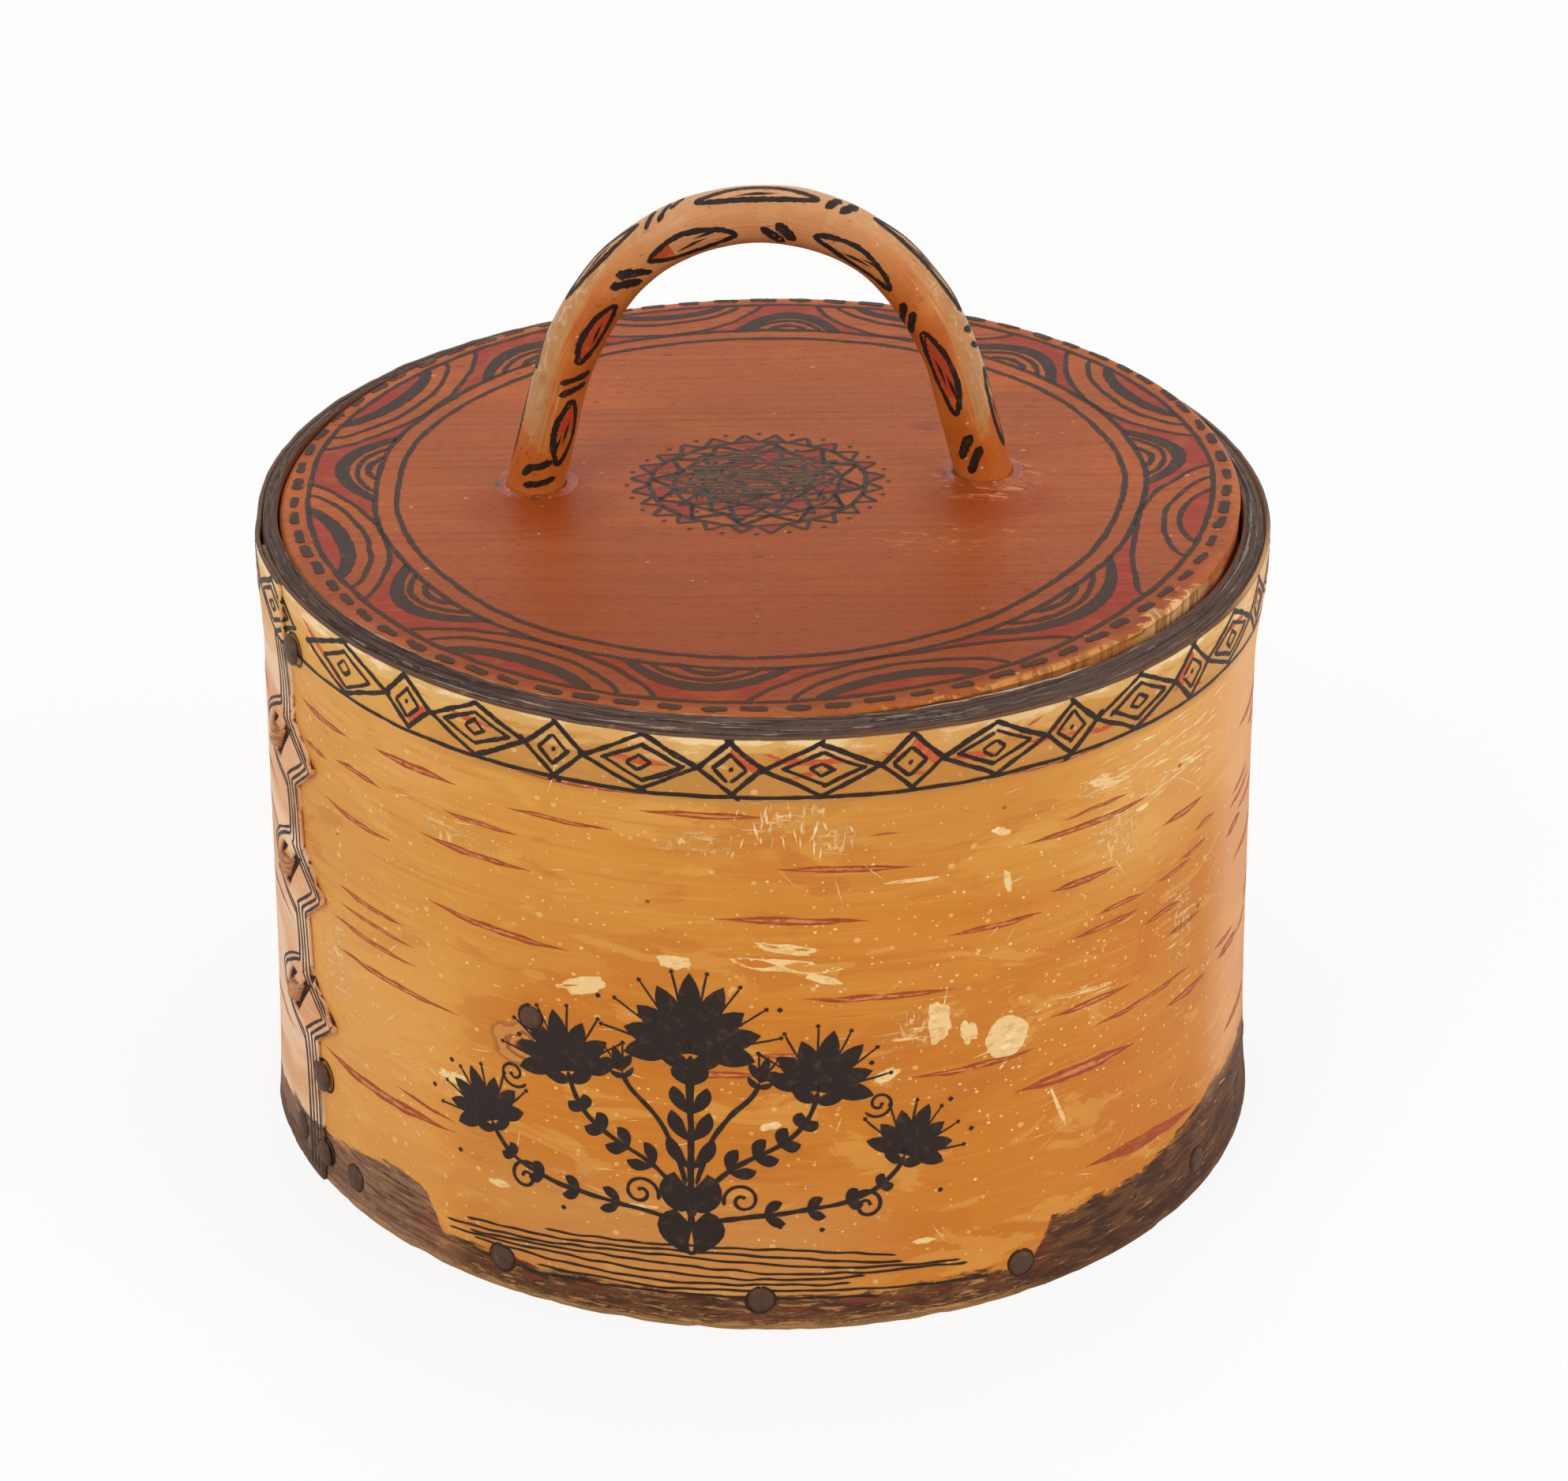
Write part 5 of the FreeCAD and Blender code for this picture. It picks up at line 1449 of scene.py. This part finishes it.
def bowl(along, centre, left, right, depth, power):
    """How deep a bowl hung from the outer ring reaches at a place along."""
    t = (along - centre) / (left if along < centre else right)
    return 0.2 + depth * max(0.0, 1.0 - t * t) ** power


def bowl_line(centre, left, right, depth, power, steps=40):
    line = []
    for i in range(steps + 1):
        t = math.sin(math.pi * (i / steps - 0.5))
        along = centre + t * (left if t < 0.0 else right)
        line.append((along, bowl(along, centre, left, right, depth, power)))
    return line


def rough_edge(line, seed):
    return [(x, y + 0.3 * noise.noise(Vector((x / 1.3, y, seed)))) for x, y in line]


# The middles of the pockets in the wave, in degrees. The one at the right has a thinner lens.
POCKETS = [-167.0, -120.0, -75.0, -30.0, 17.5, 80.0, 119.0, 160.0]
RIGHT_POCKET = 5
BORDER_MM_PER_DEGREE = RING_OUTER * math.radians(1.0)
for number, pocket in enumerate(POCKETS):
    following = POCKETS[(number + 1) % len(POCKETS)]
    before = POCKETS[number - 1]
    gap = (following - pocket) % 360.0 * BORDER_MM_PER_DEGREE
    gap_before = (pocket - before) % 360.0 * BORDER_MM_PER_DEGREE
    pocket_at = pocket * BORDER_MM_PER_DEGREE
    arch_at = pocket_at + 0.49 * gap
    size = min(1.04, min(gap, gap_before) / (45.0 * BORDER_MM_PER_DEGREE))
    size *= border_hand.uniform(0.96, 1.03)
    left, right = 0.385 * gap_before, 0.385 * gap
    deep = BORDER_DEPTH - 0.3
    ink_line(bowl_line(pocket_at, left, right, deep, 0.75), 1.0, number * 5.0)
    bowl_at = pocket_at + border_hand.uniform(-0.8, 0.8)
    ink_line(bowl_line(bowl_at, 20.0 * size, 20.5 * size, 9.0 * size, 0.65), 0.95, number * 5.0 + 2.0)
    thin = 1.5 if number == RIGHT_POCKET else 0.0
    lens_reach = 15.8 * size - thin
    lens_outer = rough_edge(bowl_line(pocket_at, lens_reach, lens_reach, 6.3 * size, 0.7, 30), 1.0)
    lens_inner = rough_edge(bowl_line(pocket_at, 12.4 * size, 12.4 * size, 3.3 * size + thin, 0.7, 30), 5.0)
    fill(border_bm, lens_outer, lens_inner, on_border, lift=0.07)
    fill(red_bm, lens_inner, [(x, 0.2) for x, y in lens_inner], on_border)
    crest, under, below = [], [], []
    foot = 0.265 * gap
    for i in range(81):
        along = arch_at + (i / 40.0 - 1.0) * (0.5 * gap - 5.0)
        inward = max(bowl(along, pocket_at, left, right, deep, 0.75),
                     bowl(along, pocket_at + gap, right, right, deep, 0.75))
        arched = max(0.0, 1.0 - ((along - arch_at) / foot) ** 2) ** 1.15
        inside = max(0.0, 1.0 - ((along - arch_at) / (foot - 3.6)) ** 2) ** 1.1
        ragged = 0.3 * noise.noise(Vector((along / 1.3, 3.0, number)))
        crest.append((along, inward + 0.1))
        under.append((along, max(inward + 0.1, BORDER_DEPTH - (BORDER_DEPTH - 3.8) * arched + ragged)))
        below.append((along, max(under[-1][1], BORDER_DEPTH - (BORDER_DEPTH - 6.7) * inside - ragged)))
    fill(red_bm, crest, under, on_border)
    fill(border_bm, under, below, on_border, lift=0.07)
    for half, crown, width in ((0.62 * foot, 8.0, 1.05), (0.32 * foot, 10.4, 1.3)):
        ink_line(arch(arch_at + border_hand.uniform(-0.6, 0.6), half, crown), width, number * 7.0 + half)
new_piece("lid_border", border_bm, lid_ink, "lid", "lid_pine")
new_piece("lid_border_red", red_bm, lid_red, "lid", "lid_pine")


def on_rosette(x, y, lift):
    return lid_top(x - 0.4, 2.5 + 0.9 * y, lift)


# Rosette: rings with zigzags between them, rubbed pale in the middle by the hand on the twig.
rosette_ink = ink_finish("rosette_ink", (58, 44, 38), (108, 66, 46), 0.6)
rubbed_ink = ink_finish("rubbed_ink", (90, 66, 50), (122, 74, 48), 0.8)
rosette_bm = bmesh.new()
rosette_red_bm = bmesh.new()
rosette_hand = random.Random(5)


def round_point(turn, radius):
    a = math.radians(turn)
    return shaky((radius * math.sin(a), -radius * math.cos(a)), 0.3)


def ring_line(radius, width, seed):
    path = [(radius * math.sin(math.radians(6 * i)), -radius * math.cos(math.radians(6 * i)))
            for i in range(61)]
    stroke(rosette_bm, path, width, on_rosette, step=0.4, wobble=0.5, seed=seed, rough=0.3)


def points_round(count, inner, outer, width, red_share, turned=0.0, dots=0.0):
    """A zigzag round a ring, some of its points filled with red, and dots between them."""
    step = 360.0 / count
    for number in range(count):
        start = turned + step * number
        low, top, last = (round_point(start, inner), round_point(start + 0.5 * step, outer),
                          round_point(start + step, inner))
        for line, seed in (([low, top], number + count), ([top, last], number + count + 0.5)):
            stroke(rosette_bm, line, width, on_rosette, step=0.4, wobble=0.3, seed=seed, rough=0.3)
        if rosette_hand.random() < red_share:
            fill(rosette_red_bm, [low, top], [last, top], on_rosette, rows=2)
        if dots:
            dot(rosette_bm, *round_point(start, dots), (0.5, 0.2), 1.3, on_rosette)


for ring in ((20.4, 1.0, 1.0), (15.6, 0.85, 2.0), (10.2, 0.85, 3.0), (6.2, 0.8, 4.0)):
    ring_line(*ring)
for zigzag in ((24, 20.2, 24.0, 0.85, 0.7, 0.0, 24.4), (12, 15.2, 20.2, 0.9, 0.3, 8.0),
               (12, 20.2, 15.6, 0.8, 0.3, 23.0), (8, 10.0, 18.4, 1.0, 0.8, 12.0),
               (8, 10.4, 15.4, 0.9, 0.6, 34.0), (8, 6.0, 10.2, 0.8, 0.5, 5.0), (4, 2.4, 6.2, 0.8, 0.6, 20.0)):
    points_round(*zigzag)
for number in range(11):
    dot(rosette_bm, *round_point(8.0 + 16.4 + 32.7 * number, 17.2), (0.4, 0.3), 1.1, on_rosette)
rubbed_bm = bmesh.new()
for number in range(125):
    x, y = rosette_hand.gauss(-2.0, 9.0), rosette_hand.gauss(4.0, 7.0)
    if math.hypot(x, y) < 20.0:
        long = rosette_hand.uniform(1.5, 6.0)
        path = [(x - long, y + rosette_hand.uniform(-0.8, 0.8)), (x + long, y)]
        stroke(rubbed_bm, path, rosette_hand.uniform(0.3, 0.6), on_rosette, lift=0.075, step=0.5, wobble=0.4,
               seed=number * 1.9, pointed=0.3, rough=0.4)
for number in range(90):
    turn = rosette_hand.uniform(0.0, 360.0)
    radius = rosette_hand.uniform(2.0, 14.0)
    start = round_point(turn, radius)
    end = round_point(turn + rosette_hand.uniform(14.0, 50.0), radius + rosette_hand.uniform(-3.0, 3.0))
    stroke(rosette_bm, [start, end], 0.55, on_rosette, wobble=0.4, seed=number * 1.3)
new_piece("lid_rosette", rosette_bm, rosette_ink, "lid", "lid_pine")
new_piece("lid_rosette_red", rosette_red_bm, lid_red, "lid", "lid_pine")
new_piece("lid_rosette_rubbed", rubbed_bm, rubbed_ink, "lid", "lid_pine")


# Handle: a peeled twig steamed and bent into an arch, varnished, with its ends driven through two
# slanted holes in the lid. It is pale on the outside, with painted highlights along its shoulders,
# and orange inside the bend and at its feet.
# The bend is three curves: the crown, a shoulder to each side and a straight leg below it.
HANDLE_RISE = 53.0
CROWN_RADIUS = 0.413 * HANDLE_SPAN
CROWN_ANGLE = math.radians(55.0)
LEG_TAIL = 9.0
TWIG_RADIUS = 5.3
crown_across = CROWN_RADIUS * math.sin(CROWN_ANGLE)
span_left = 0.5 * HANDLE_SPAN - crown_across
drop_left = HANDLE_RISE - CROWN_RADIUS * (1.0 - math.cos(CROWN_ANGLE))
bend_across = math.cos(LEG_LEAN) - math.sin(CROWN_ANGLE)
bend_down = math.cos(CROWN_ANGLE) - math.sin(LEG_LEAN)
scale_by = bend_across * math.cos(LEG_LEAN) - math.sin(LEG_LEAN) * bend_down
shoulder = (span_left * math.cos(LEG_LEAN) - math.sin(LEG_LEAN) * drop_left) / scale_by
leg_above = (bend_across * drop_left - bend_down * span_left) / scale_by
leg_below = (LID_THICKNESS + LEG_TAIL) / math.cos(LEG_LEAN)
crown_run = CROWN_RADIUS * CROWN_ANGLE
shoulder_run = shoulder * (0.5 * math.pi - LEG_LEAN - CROWN_ANGLE)
HALF_RUN = crown_run + shoulder_run + leg_above + leg_below


def twig_middle(run_along):
    """The middle of the twig at a distance along it from the crown, right is positive, with the
    way that it points. Both are in the handle's own plane: across, and above the underside."""
    side = -1.0 if run_along < 0.0 else 1.0
    rest = abs(run_along)
    apex = LID_THICKNESS + HANDLE_RISE
    if rest < crown_run:
        angle = rest / CROWN_RADIUS
        spot = Vector((CROWN_RADIUS * math.sin(angle), apex - CROWN_RADIUS * (1.0 - math.cos(angle))))
    else:
        spot = Vector((crown_across, apex - CROWN_RADIUS * (1.0 - math.cos(CROWN_ANGLE))))
        bent = min(rest - crown_run, shoulder_run)
        angle = CROWN_ANGLE + bent / shoulder
        spot += shoulder * Vector((math.sin(angle) - math.sin(CROWN_ANGLE),
                                   math.cos(angle) - math.cos(CROWN_ANGLE)))
        straight = max(0.0, rest - crown_run - shoulder_run)
        spot += straight * Vector((math.sin(LEG_LEAN), -math.cos(LEG_LEAN)))
    return Vector((side * spot.x, spot.y)), angle * side


def on_twig(run_along, round_by, lift):
    """On the twig: along it in millimetres, and round it in degrees from the outside of the bend
    towards the front."""
    spot, angle = twig_middle(run_along)
    out = Vector((math.sin(angle), math.cos(angle)))
    around = math.radians(round_by)
    side, front = math.cos(around), math.sin(around)
    thick = TWIG_RADIUS + 0.25 * noise.noise(Vector((run_along / 16.0, 1.0, 0.0)))
    thick += 0.25 * rise(abs(run_along), 50.0, 90.0) - 0.05 + lift
    thick *= 1.0 + 0.02 * math.sin(3.0 * around + run_along / 20.0)
    thick *= 1.0 + 0.02 * noise.noise(Vector((run_along / 6.0, side, front + 2.0)))
    flat = Vector((spot.x + out.x * thick * side, 0.35 * math.sin(run_along / 31.0) - thick * front,
                   spot.y + out.y * thick * side))
    return (lid_frame @ handle_plane @ flat) * MM


TWIG_STEPS, TWIG_SIDES = 240, 44
twig_bm = bmesh.new()
bmesh.ops.create_grid(twig_bm, x_segments=TWIG_STEPS, y_segments=TWIG_SIDES, size=0.5)
twig_run = twig_bm.loops.layers.uv.new("run")
for face in twig_bm.faces:
    for loop in face.loops:
        loop[twig_run].uv = (2.0 * HALF_RUN * loop.vert.co.x * MM, 360.0 * loop.vert.co.y * MM)
for vert in twig_bm.verts:
    vert.co = on_twig(2.0 * HALF_RUN * vert.co.x, 360.0 * vert.co.y, 0.0)
bmesh.ops.remove_doubles(twig_bm, verts=twig_bm.verts, dist=1e-6)
bmesh.ops.holes_fill(twig_bm, edges=[e for e in twig_bm.edges if e.is_boundary], sides=0)
bmesh.ops.recalc_face_normals(twig_bm, faces=twig_bm.faces)
twig = Finish("varnished_twig", (188, 134, 80), roughness=0.3, gloss=0.26)
twig_place = twig.place()
twig_along = twig.place("run")
twig_far, twig_turned = [value.size() for value in twig.axes(twig_along)[:2]]
twig_stain = twig.clouds(twig_place, (7.0, 7.0, 9.0), detail=4.0, rough=0.6, warp=0.5)
twig_fibre = twig.clouds(twig_along, (11.0, 6.0, 1.0), detail=3.0, rough=0.6)
twig_streak = twig.clouds(twig_along, (22.0, 11.0, 1.0), detail=4.0, rough=0.6, warp=0.3)
twig.coat((218, 176, 126), (twig_stain + twig_streak).over(0.92, 0.72) * 0.45)
twig.coat((176, 112, 60), (twig_stain + twig_streak).over(1.0, 1.2) * 0.6)
twig_fine = twig.clouds(twig_place, (2.2, 2.2, 3.0), detail=5.0, rough=0.7, warp=0.6)
# Pale patches on the outside of the bend, along the shoulders: painted highlight.
painted_twig_shoulder_highlight = twig_turned.over(70.0, 30.0).both(twig_far.over(10.0, 20.0))
twig.coat((232, 196, 152), painted_twig_shoulder_highlight.both(twig_fine.over(0.52, 0.66)) * 0.5)
twig.coat((190, 112, 52), twig_fine.over(0.46, 0.34) * 0.45)
twig.coat((204, 130, 58), twig_turned.over(40.0, 90.0).both(twig_far.over(56.0, 30.0)) * 0.34)
orange_from = twig_far.over(6.0, 62.0) * 54.0 + 24.0
orange_side = (twig_turned - orange_from + (twig_streak - 0.5) * 90.0).over(-9.0, 16.0)
orange_side *= twig_far.over(10.0, 44.0) * 0.5 + 0.5
feet = (twig_far + (twig_stain - 0.5) * 9.0 + twig_turned.over(60.0, 20.0) * 5.0).over(63.0, 66.5)
orange = orange_side.either(feet)
twig.coat((202, 114, 36), orange * 0.88)
twig.coat((182, 84, 24), (orange * 0.8 + twig_stain - 0.5).over(0.42, 0.95) * 0.75)
twig.coat((206, 148, 92), twig_far.over(34.0, 10.0).both(twig_stain.over(0.46, 0.56)) * 0.55)
twig.coat((190, 142, 106), twig_far.over(36.0, 14.0) * 0.3)
twig.coat((140, 66, 24), twig_turned.over(118.0, 160.0).both(twig_far.over(62.0, 40.0)) * 0.55)
twig.coat((150, 84, 44), twig_fibre.over(0.58, 0.8) * 0.35)
twig_flecks = twig.spots(twig_place, (2.6, 2.6, 2.6), 0.06, 0.1, 0.03, 0.7)
twig_grit = twig.spots(twig_place, (3.2, 3.2, 3.2), 0.06, 0.1, 0.05, 0.8, shift=(5.0, 1.0, 2.0))
twig_drops = twig.spots(twig_along, (3.0, 14.0, 1.0), 0.1, 0.2, 0.04, 0.55, shift=(2.0, 5.0, 0.0))
twig.coat((244, 218, 182), twig_flecks * 0.5)
twig.coat((120, 68, 36), twig_grit * 0.6)
twig.relief(twig_fibre + twig_stain + twig_fine * 0.5, 0.16)
twig.relief(twig_drops, 0.16)
new_piece("bent_twig", twig_bm, twig, "lid", "twig", "twig_handle")

peg_wood = Finish("whittled_peg", (196, 152, 100), roughness=0.65, gloss=0.3)
peg_place = peg_wood.place()
peg_fibre = peg_wood.clouds(peg_place, (0.6, 9.0, 0.6), detail=3.0)
peg_wood.coat((150, 104, 62), peg_fibre.over(0.5, 0.7) * 0.6)
peg_wood.relief(peg_fibre, 0.1)
finish_node("handle_peg_left", peg_wood)
finish_node("handle_peg_right", peg_wood)

# Varnish that ran down the legs and dried in a ridge round each foot. Its rows say how far they are
# from the middle of the foot and how high they stand.
POOL_ROWS = [(5.15, -0.5), (5.5, 0.45), (5.9, 0.4), (6.6, 0.2), (7.4, 0.05), (8.2, -0.15)]
pool_bm = bmesh.new()
for side in (-1, 1):
    columns = []
    for step in range(61):
        a = 2.0 * math.pi * step / 60.0
        rough = noise.noise(Vector((math.cos(a) * 2.2, math.sin(a) * 2.2, 3.0 * side)))
        column = []
        for reach, swell in POOL_ROWS:
            wide = reach * (1.0 + 0.12 * rough * (reach - 5.0) / 3.0)
            across = side * 0.5 * HANDLE_SPAN + wide * math.cos(a) * 1.03
            spot = handle_plane @ Vector((across, wide * math.sin(a), 0.0))
            lift = max(-0.5, swell * (0.55 + 0.9 * rough))
            column.append(lid_top(spot.x, spot.y, lift))
        columns.append(column)
    joined_up(pool_bm, columns)
bmesh.ops.remove_doubles(pool_bm, verts=pool_bm.verts, dist=1e-6)
bmesh.ops.recalc_face_normals(pool_bm, faces=pool_bm.faces)
pooled = Finish("pooled_varnish", (146, 66, 28), roughness=0.3, gloss=0.22)
pooled_place = pooled.place()
pooled_clouds = pooled.clouds(pooled_place, (4.0, 4.0, 4.0), detail=4.0)
pooled.coat((168, 84, 38), pooled_clouds.over(0.45, 0.7))
pooled.coat((74, 34, 20), pooled_clouds.over(0.46, 0.3) * 0.9)
# Small pale flecks on the dried varnish: painted glints of its wet-looking surface. The same noise raises its
# bumps.
pool_bumps_and_glints = pooled.clouds(pooled_place, (1.1, 1.1, 1.1), detail=4.0, rough=0.7)
pooled.coat((214, 150, 116), pool_bumps_and_glints.over(0.56, 0.68) * 0.6)
pooled.relief(pooled_clouds + pool_bumps_and_glints * 0.5, 0.5)
new_piece("pooled_varnish", pool_bm, pooled, "lid", "lid_pine")


# Handle painting: two rows of leaves along the twig in broad ink, some with red hearts, and pairs
# of short ticks between them. The hidden side carries on with both rows.
twig_ink = ink_finish("twig_ink", (38, 30, 26), (98, 64, 44), 0.55)
twig_red = ink_finish("twig_red", (176, 68, 34), (198, 112, 54), 1.0)
leaf_bm = bmesh.new()
heart_bm = bmesh.new()
TWIG_MM_PER_DEGREE = math.radians(TWIG_RADIUS)
LEAF_STEPS = 14


def on_round(run_along, round_mm, lift):
    return on_twig(run_along, round_mm / TWIG_MM_PER_DEGREE, lift)


def twig_stroke(path, width, seed, pointed=0.0):
    """A stroke through places given along in millimetres and round in degrees."""
    stroke(leaf_bm, [(run_along, turned * TWIG_MM_PER_DEGREE) for run_along, turned in path], width,
           on_round, lift=0.06, step=0.35, wobble=0.28, seed=seed, pointed=pointed, rough=0.35)


def twig_leaf(first, last, middle, half, red=0.0, veins=1, slant=0.0):
    """A leaf drawn as two bowed strokes from tip to tip with short veins. Red is how much of its
    length is filled."""
    sides = {}
    for side in (-1, 1):
        sides[side] = []
        for step in range(LEAF_STEPS + 1):
            t = step / LEAF_STEPS
            bow = math.sin(math.pi * t) ** 0.8
            turned = middle + slant * (t - 0.5) + side * half * bow
            sides[side].append((first + (last - first) * t, turned))
        twig_stroke(sides[side], 1.05, seed=first + side)
    for vein in range(veins):
        shift = half * (0.28 - 0.56 * vein)
        at = first + (last - first) * (0.32 + 0.2 * vein)
        twig_stroke([(at, middle + shift), (at + 0.36 * (last - first), middle + shift - 0.25 * half)], 0.55,
                    seed=last + vein, pointed=0.4)
    if red:
        rows = list(zip(sides[-1], sides[1]))[:int(LEAF_STEPS * red + 1e-9) + 1]
        inner = [(a[0], (a[1] + 0.14 * (b[1] - a[1])) * TWIG_MM_PER_DEGREE) for a, b in rows]
        outer = [(b[0], (b[1] - 0.14 * (b[1] - a[1])) * TWIG_MM_PER_DEGREE) for a, b in rows]
        fill(heart_bm, inner, outer, on_round, lift=0.035, rows=6)


def twig_ticks(*paths, width=1.7):
    for number, path in enumerate(paths):
        twig_stroke(path, width, seed=path[0][0] + number)


# The inner row, seen from the front.
twig_leaf(-21.5, -3.5, 104.0, 25.0, red=0.3, veins=2, slant=14.0)
twig_leaf(-46.5, -32.0, 113.0, 21.0, red=1.0, slant=8.0)
twig_leaf(-54.0, -68.0, 121.0, 24.0, red=0.55, veins=2)
twig_leaf(11.0, 30.5, 110.0, 20.0, veins=2, slant=22.0)
twig_leaf(41.0, 60.0, 113.0, 23.0, red=0.8, veins=2, slant=-6.0)
twig_ticks([(-27.5, 74.0), (-22.0, 122.0)], [(-30.0, 84.0), (-25.0, 128.0)])
twig_ticks([(-51.0, 86.0), (-48.0, 150.0)], [(-53.5, 90.0), (-50.5, 148.0)], width=1.4)
twig_ticks([(1.0, 97.0), (6.0, 133.0)], [(3.7, 88.0), (8.0, 122.0)], width=1.9)
twig_ticks([(34.0, 112.0), (38.5, 160.0)], [(36.5, 106.0), (41.0, 150.0)], width=1.4)
twig_ticks([(69.2, 128.0), (64.2, 92.0)], [(72.2, 116.0), (67.0, 80.0)], width=1.75)
twig_stroke([(-71.3, 52.0), (-69.3, 66.0), (-68.3, 90.0), (-66.8, 108.0)], 1.3, seed=2.0)
twig_stroke([(-73.3, 60.0), (-72.0, 90.0), (-70.3, 122.0)], 1.3, seed=4.0)

# The outer row, along the back of the bend.
twig_leaf(-9.8, 10.6, 24.0, 17.0)
twig_leaf(-37.5, -19.5, 10.0, 17.0, slant=6.0)
twig_leaf(20.0, 42.5, 8.0, 15.0)
twig_leaf(53.5, 70.0, 12.0, 17.0)
twig_leaf(-54.0, -71.5, -14.0, 17.0)
twig_ticks([(-18.8, 37.0), (-16.3, -6.0)], [(-16.3, 37.0), (-13.5, -6.0)], [(-13.8, 18.0), (-11.3, -9.0)],
           width=1.0)
twig_ticks([(11.7, 40.0), (14.2, 3.0)], [(14.2, 40.0), (17.2, -3.0)])
twig_ticks([(45.0, 32.0), (46.5, 4.0)], [(48.0, 30.0), (49.5, 2.0)], width=1.3)
twig_ticks([(-45.0, -4.0), (-47.8, 4.0), (-51.3, 12.0)], [(-46.5, -14.0), (-49.0, -6.0), (-53.0, 2.0)],
           width=0.9)

# The two rows of the hidden side.
for middle, red in ((-61.0, 0.6), (-39.0, 1.0), (-13.0, 0.6), (13.0, 0.0), (38.0, 0.8), (61.0, 0.6)):
    twig_leaf(middle - 8.5, middle + 8.5, -112.0, 22.0, red=red)
for middle in (-50.0, -26.0, 0.0, 26.0, 49.5, 73.0):
    twig_ticks([(middle - 2.0, -92.0), (middle + 1.0, -132.0)],
               [(middle + 1.0, -92.0), (middle + 4.0, -132.0)])
for middle in (-28.0, -2.0, 26.0):
    twig_leaf(middle - 8.0, middle + 8.0, -48.0, 15.0)
for middle in (-41.0, -15.0, 12.0, 40.0):
    twig_ticks([(middle - 1.5, -36.0), (middle + 1.0, -60.0)], [(middle + 1.0, -36.0), (middle + 3.5, -60.0)],
               width=1.2)
new_piece("twig_painting", leaf_bm, twig_ink, "lid", "twig")
new_piece("twig_painting_red", heart_bm, twig_red, "lid", "twig")
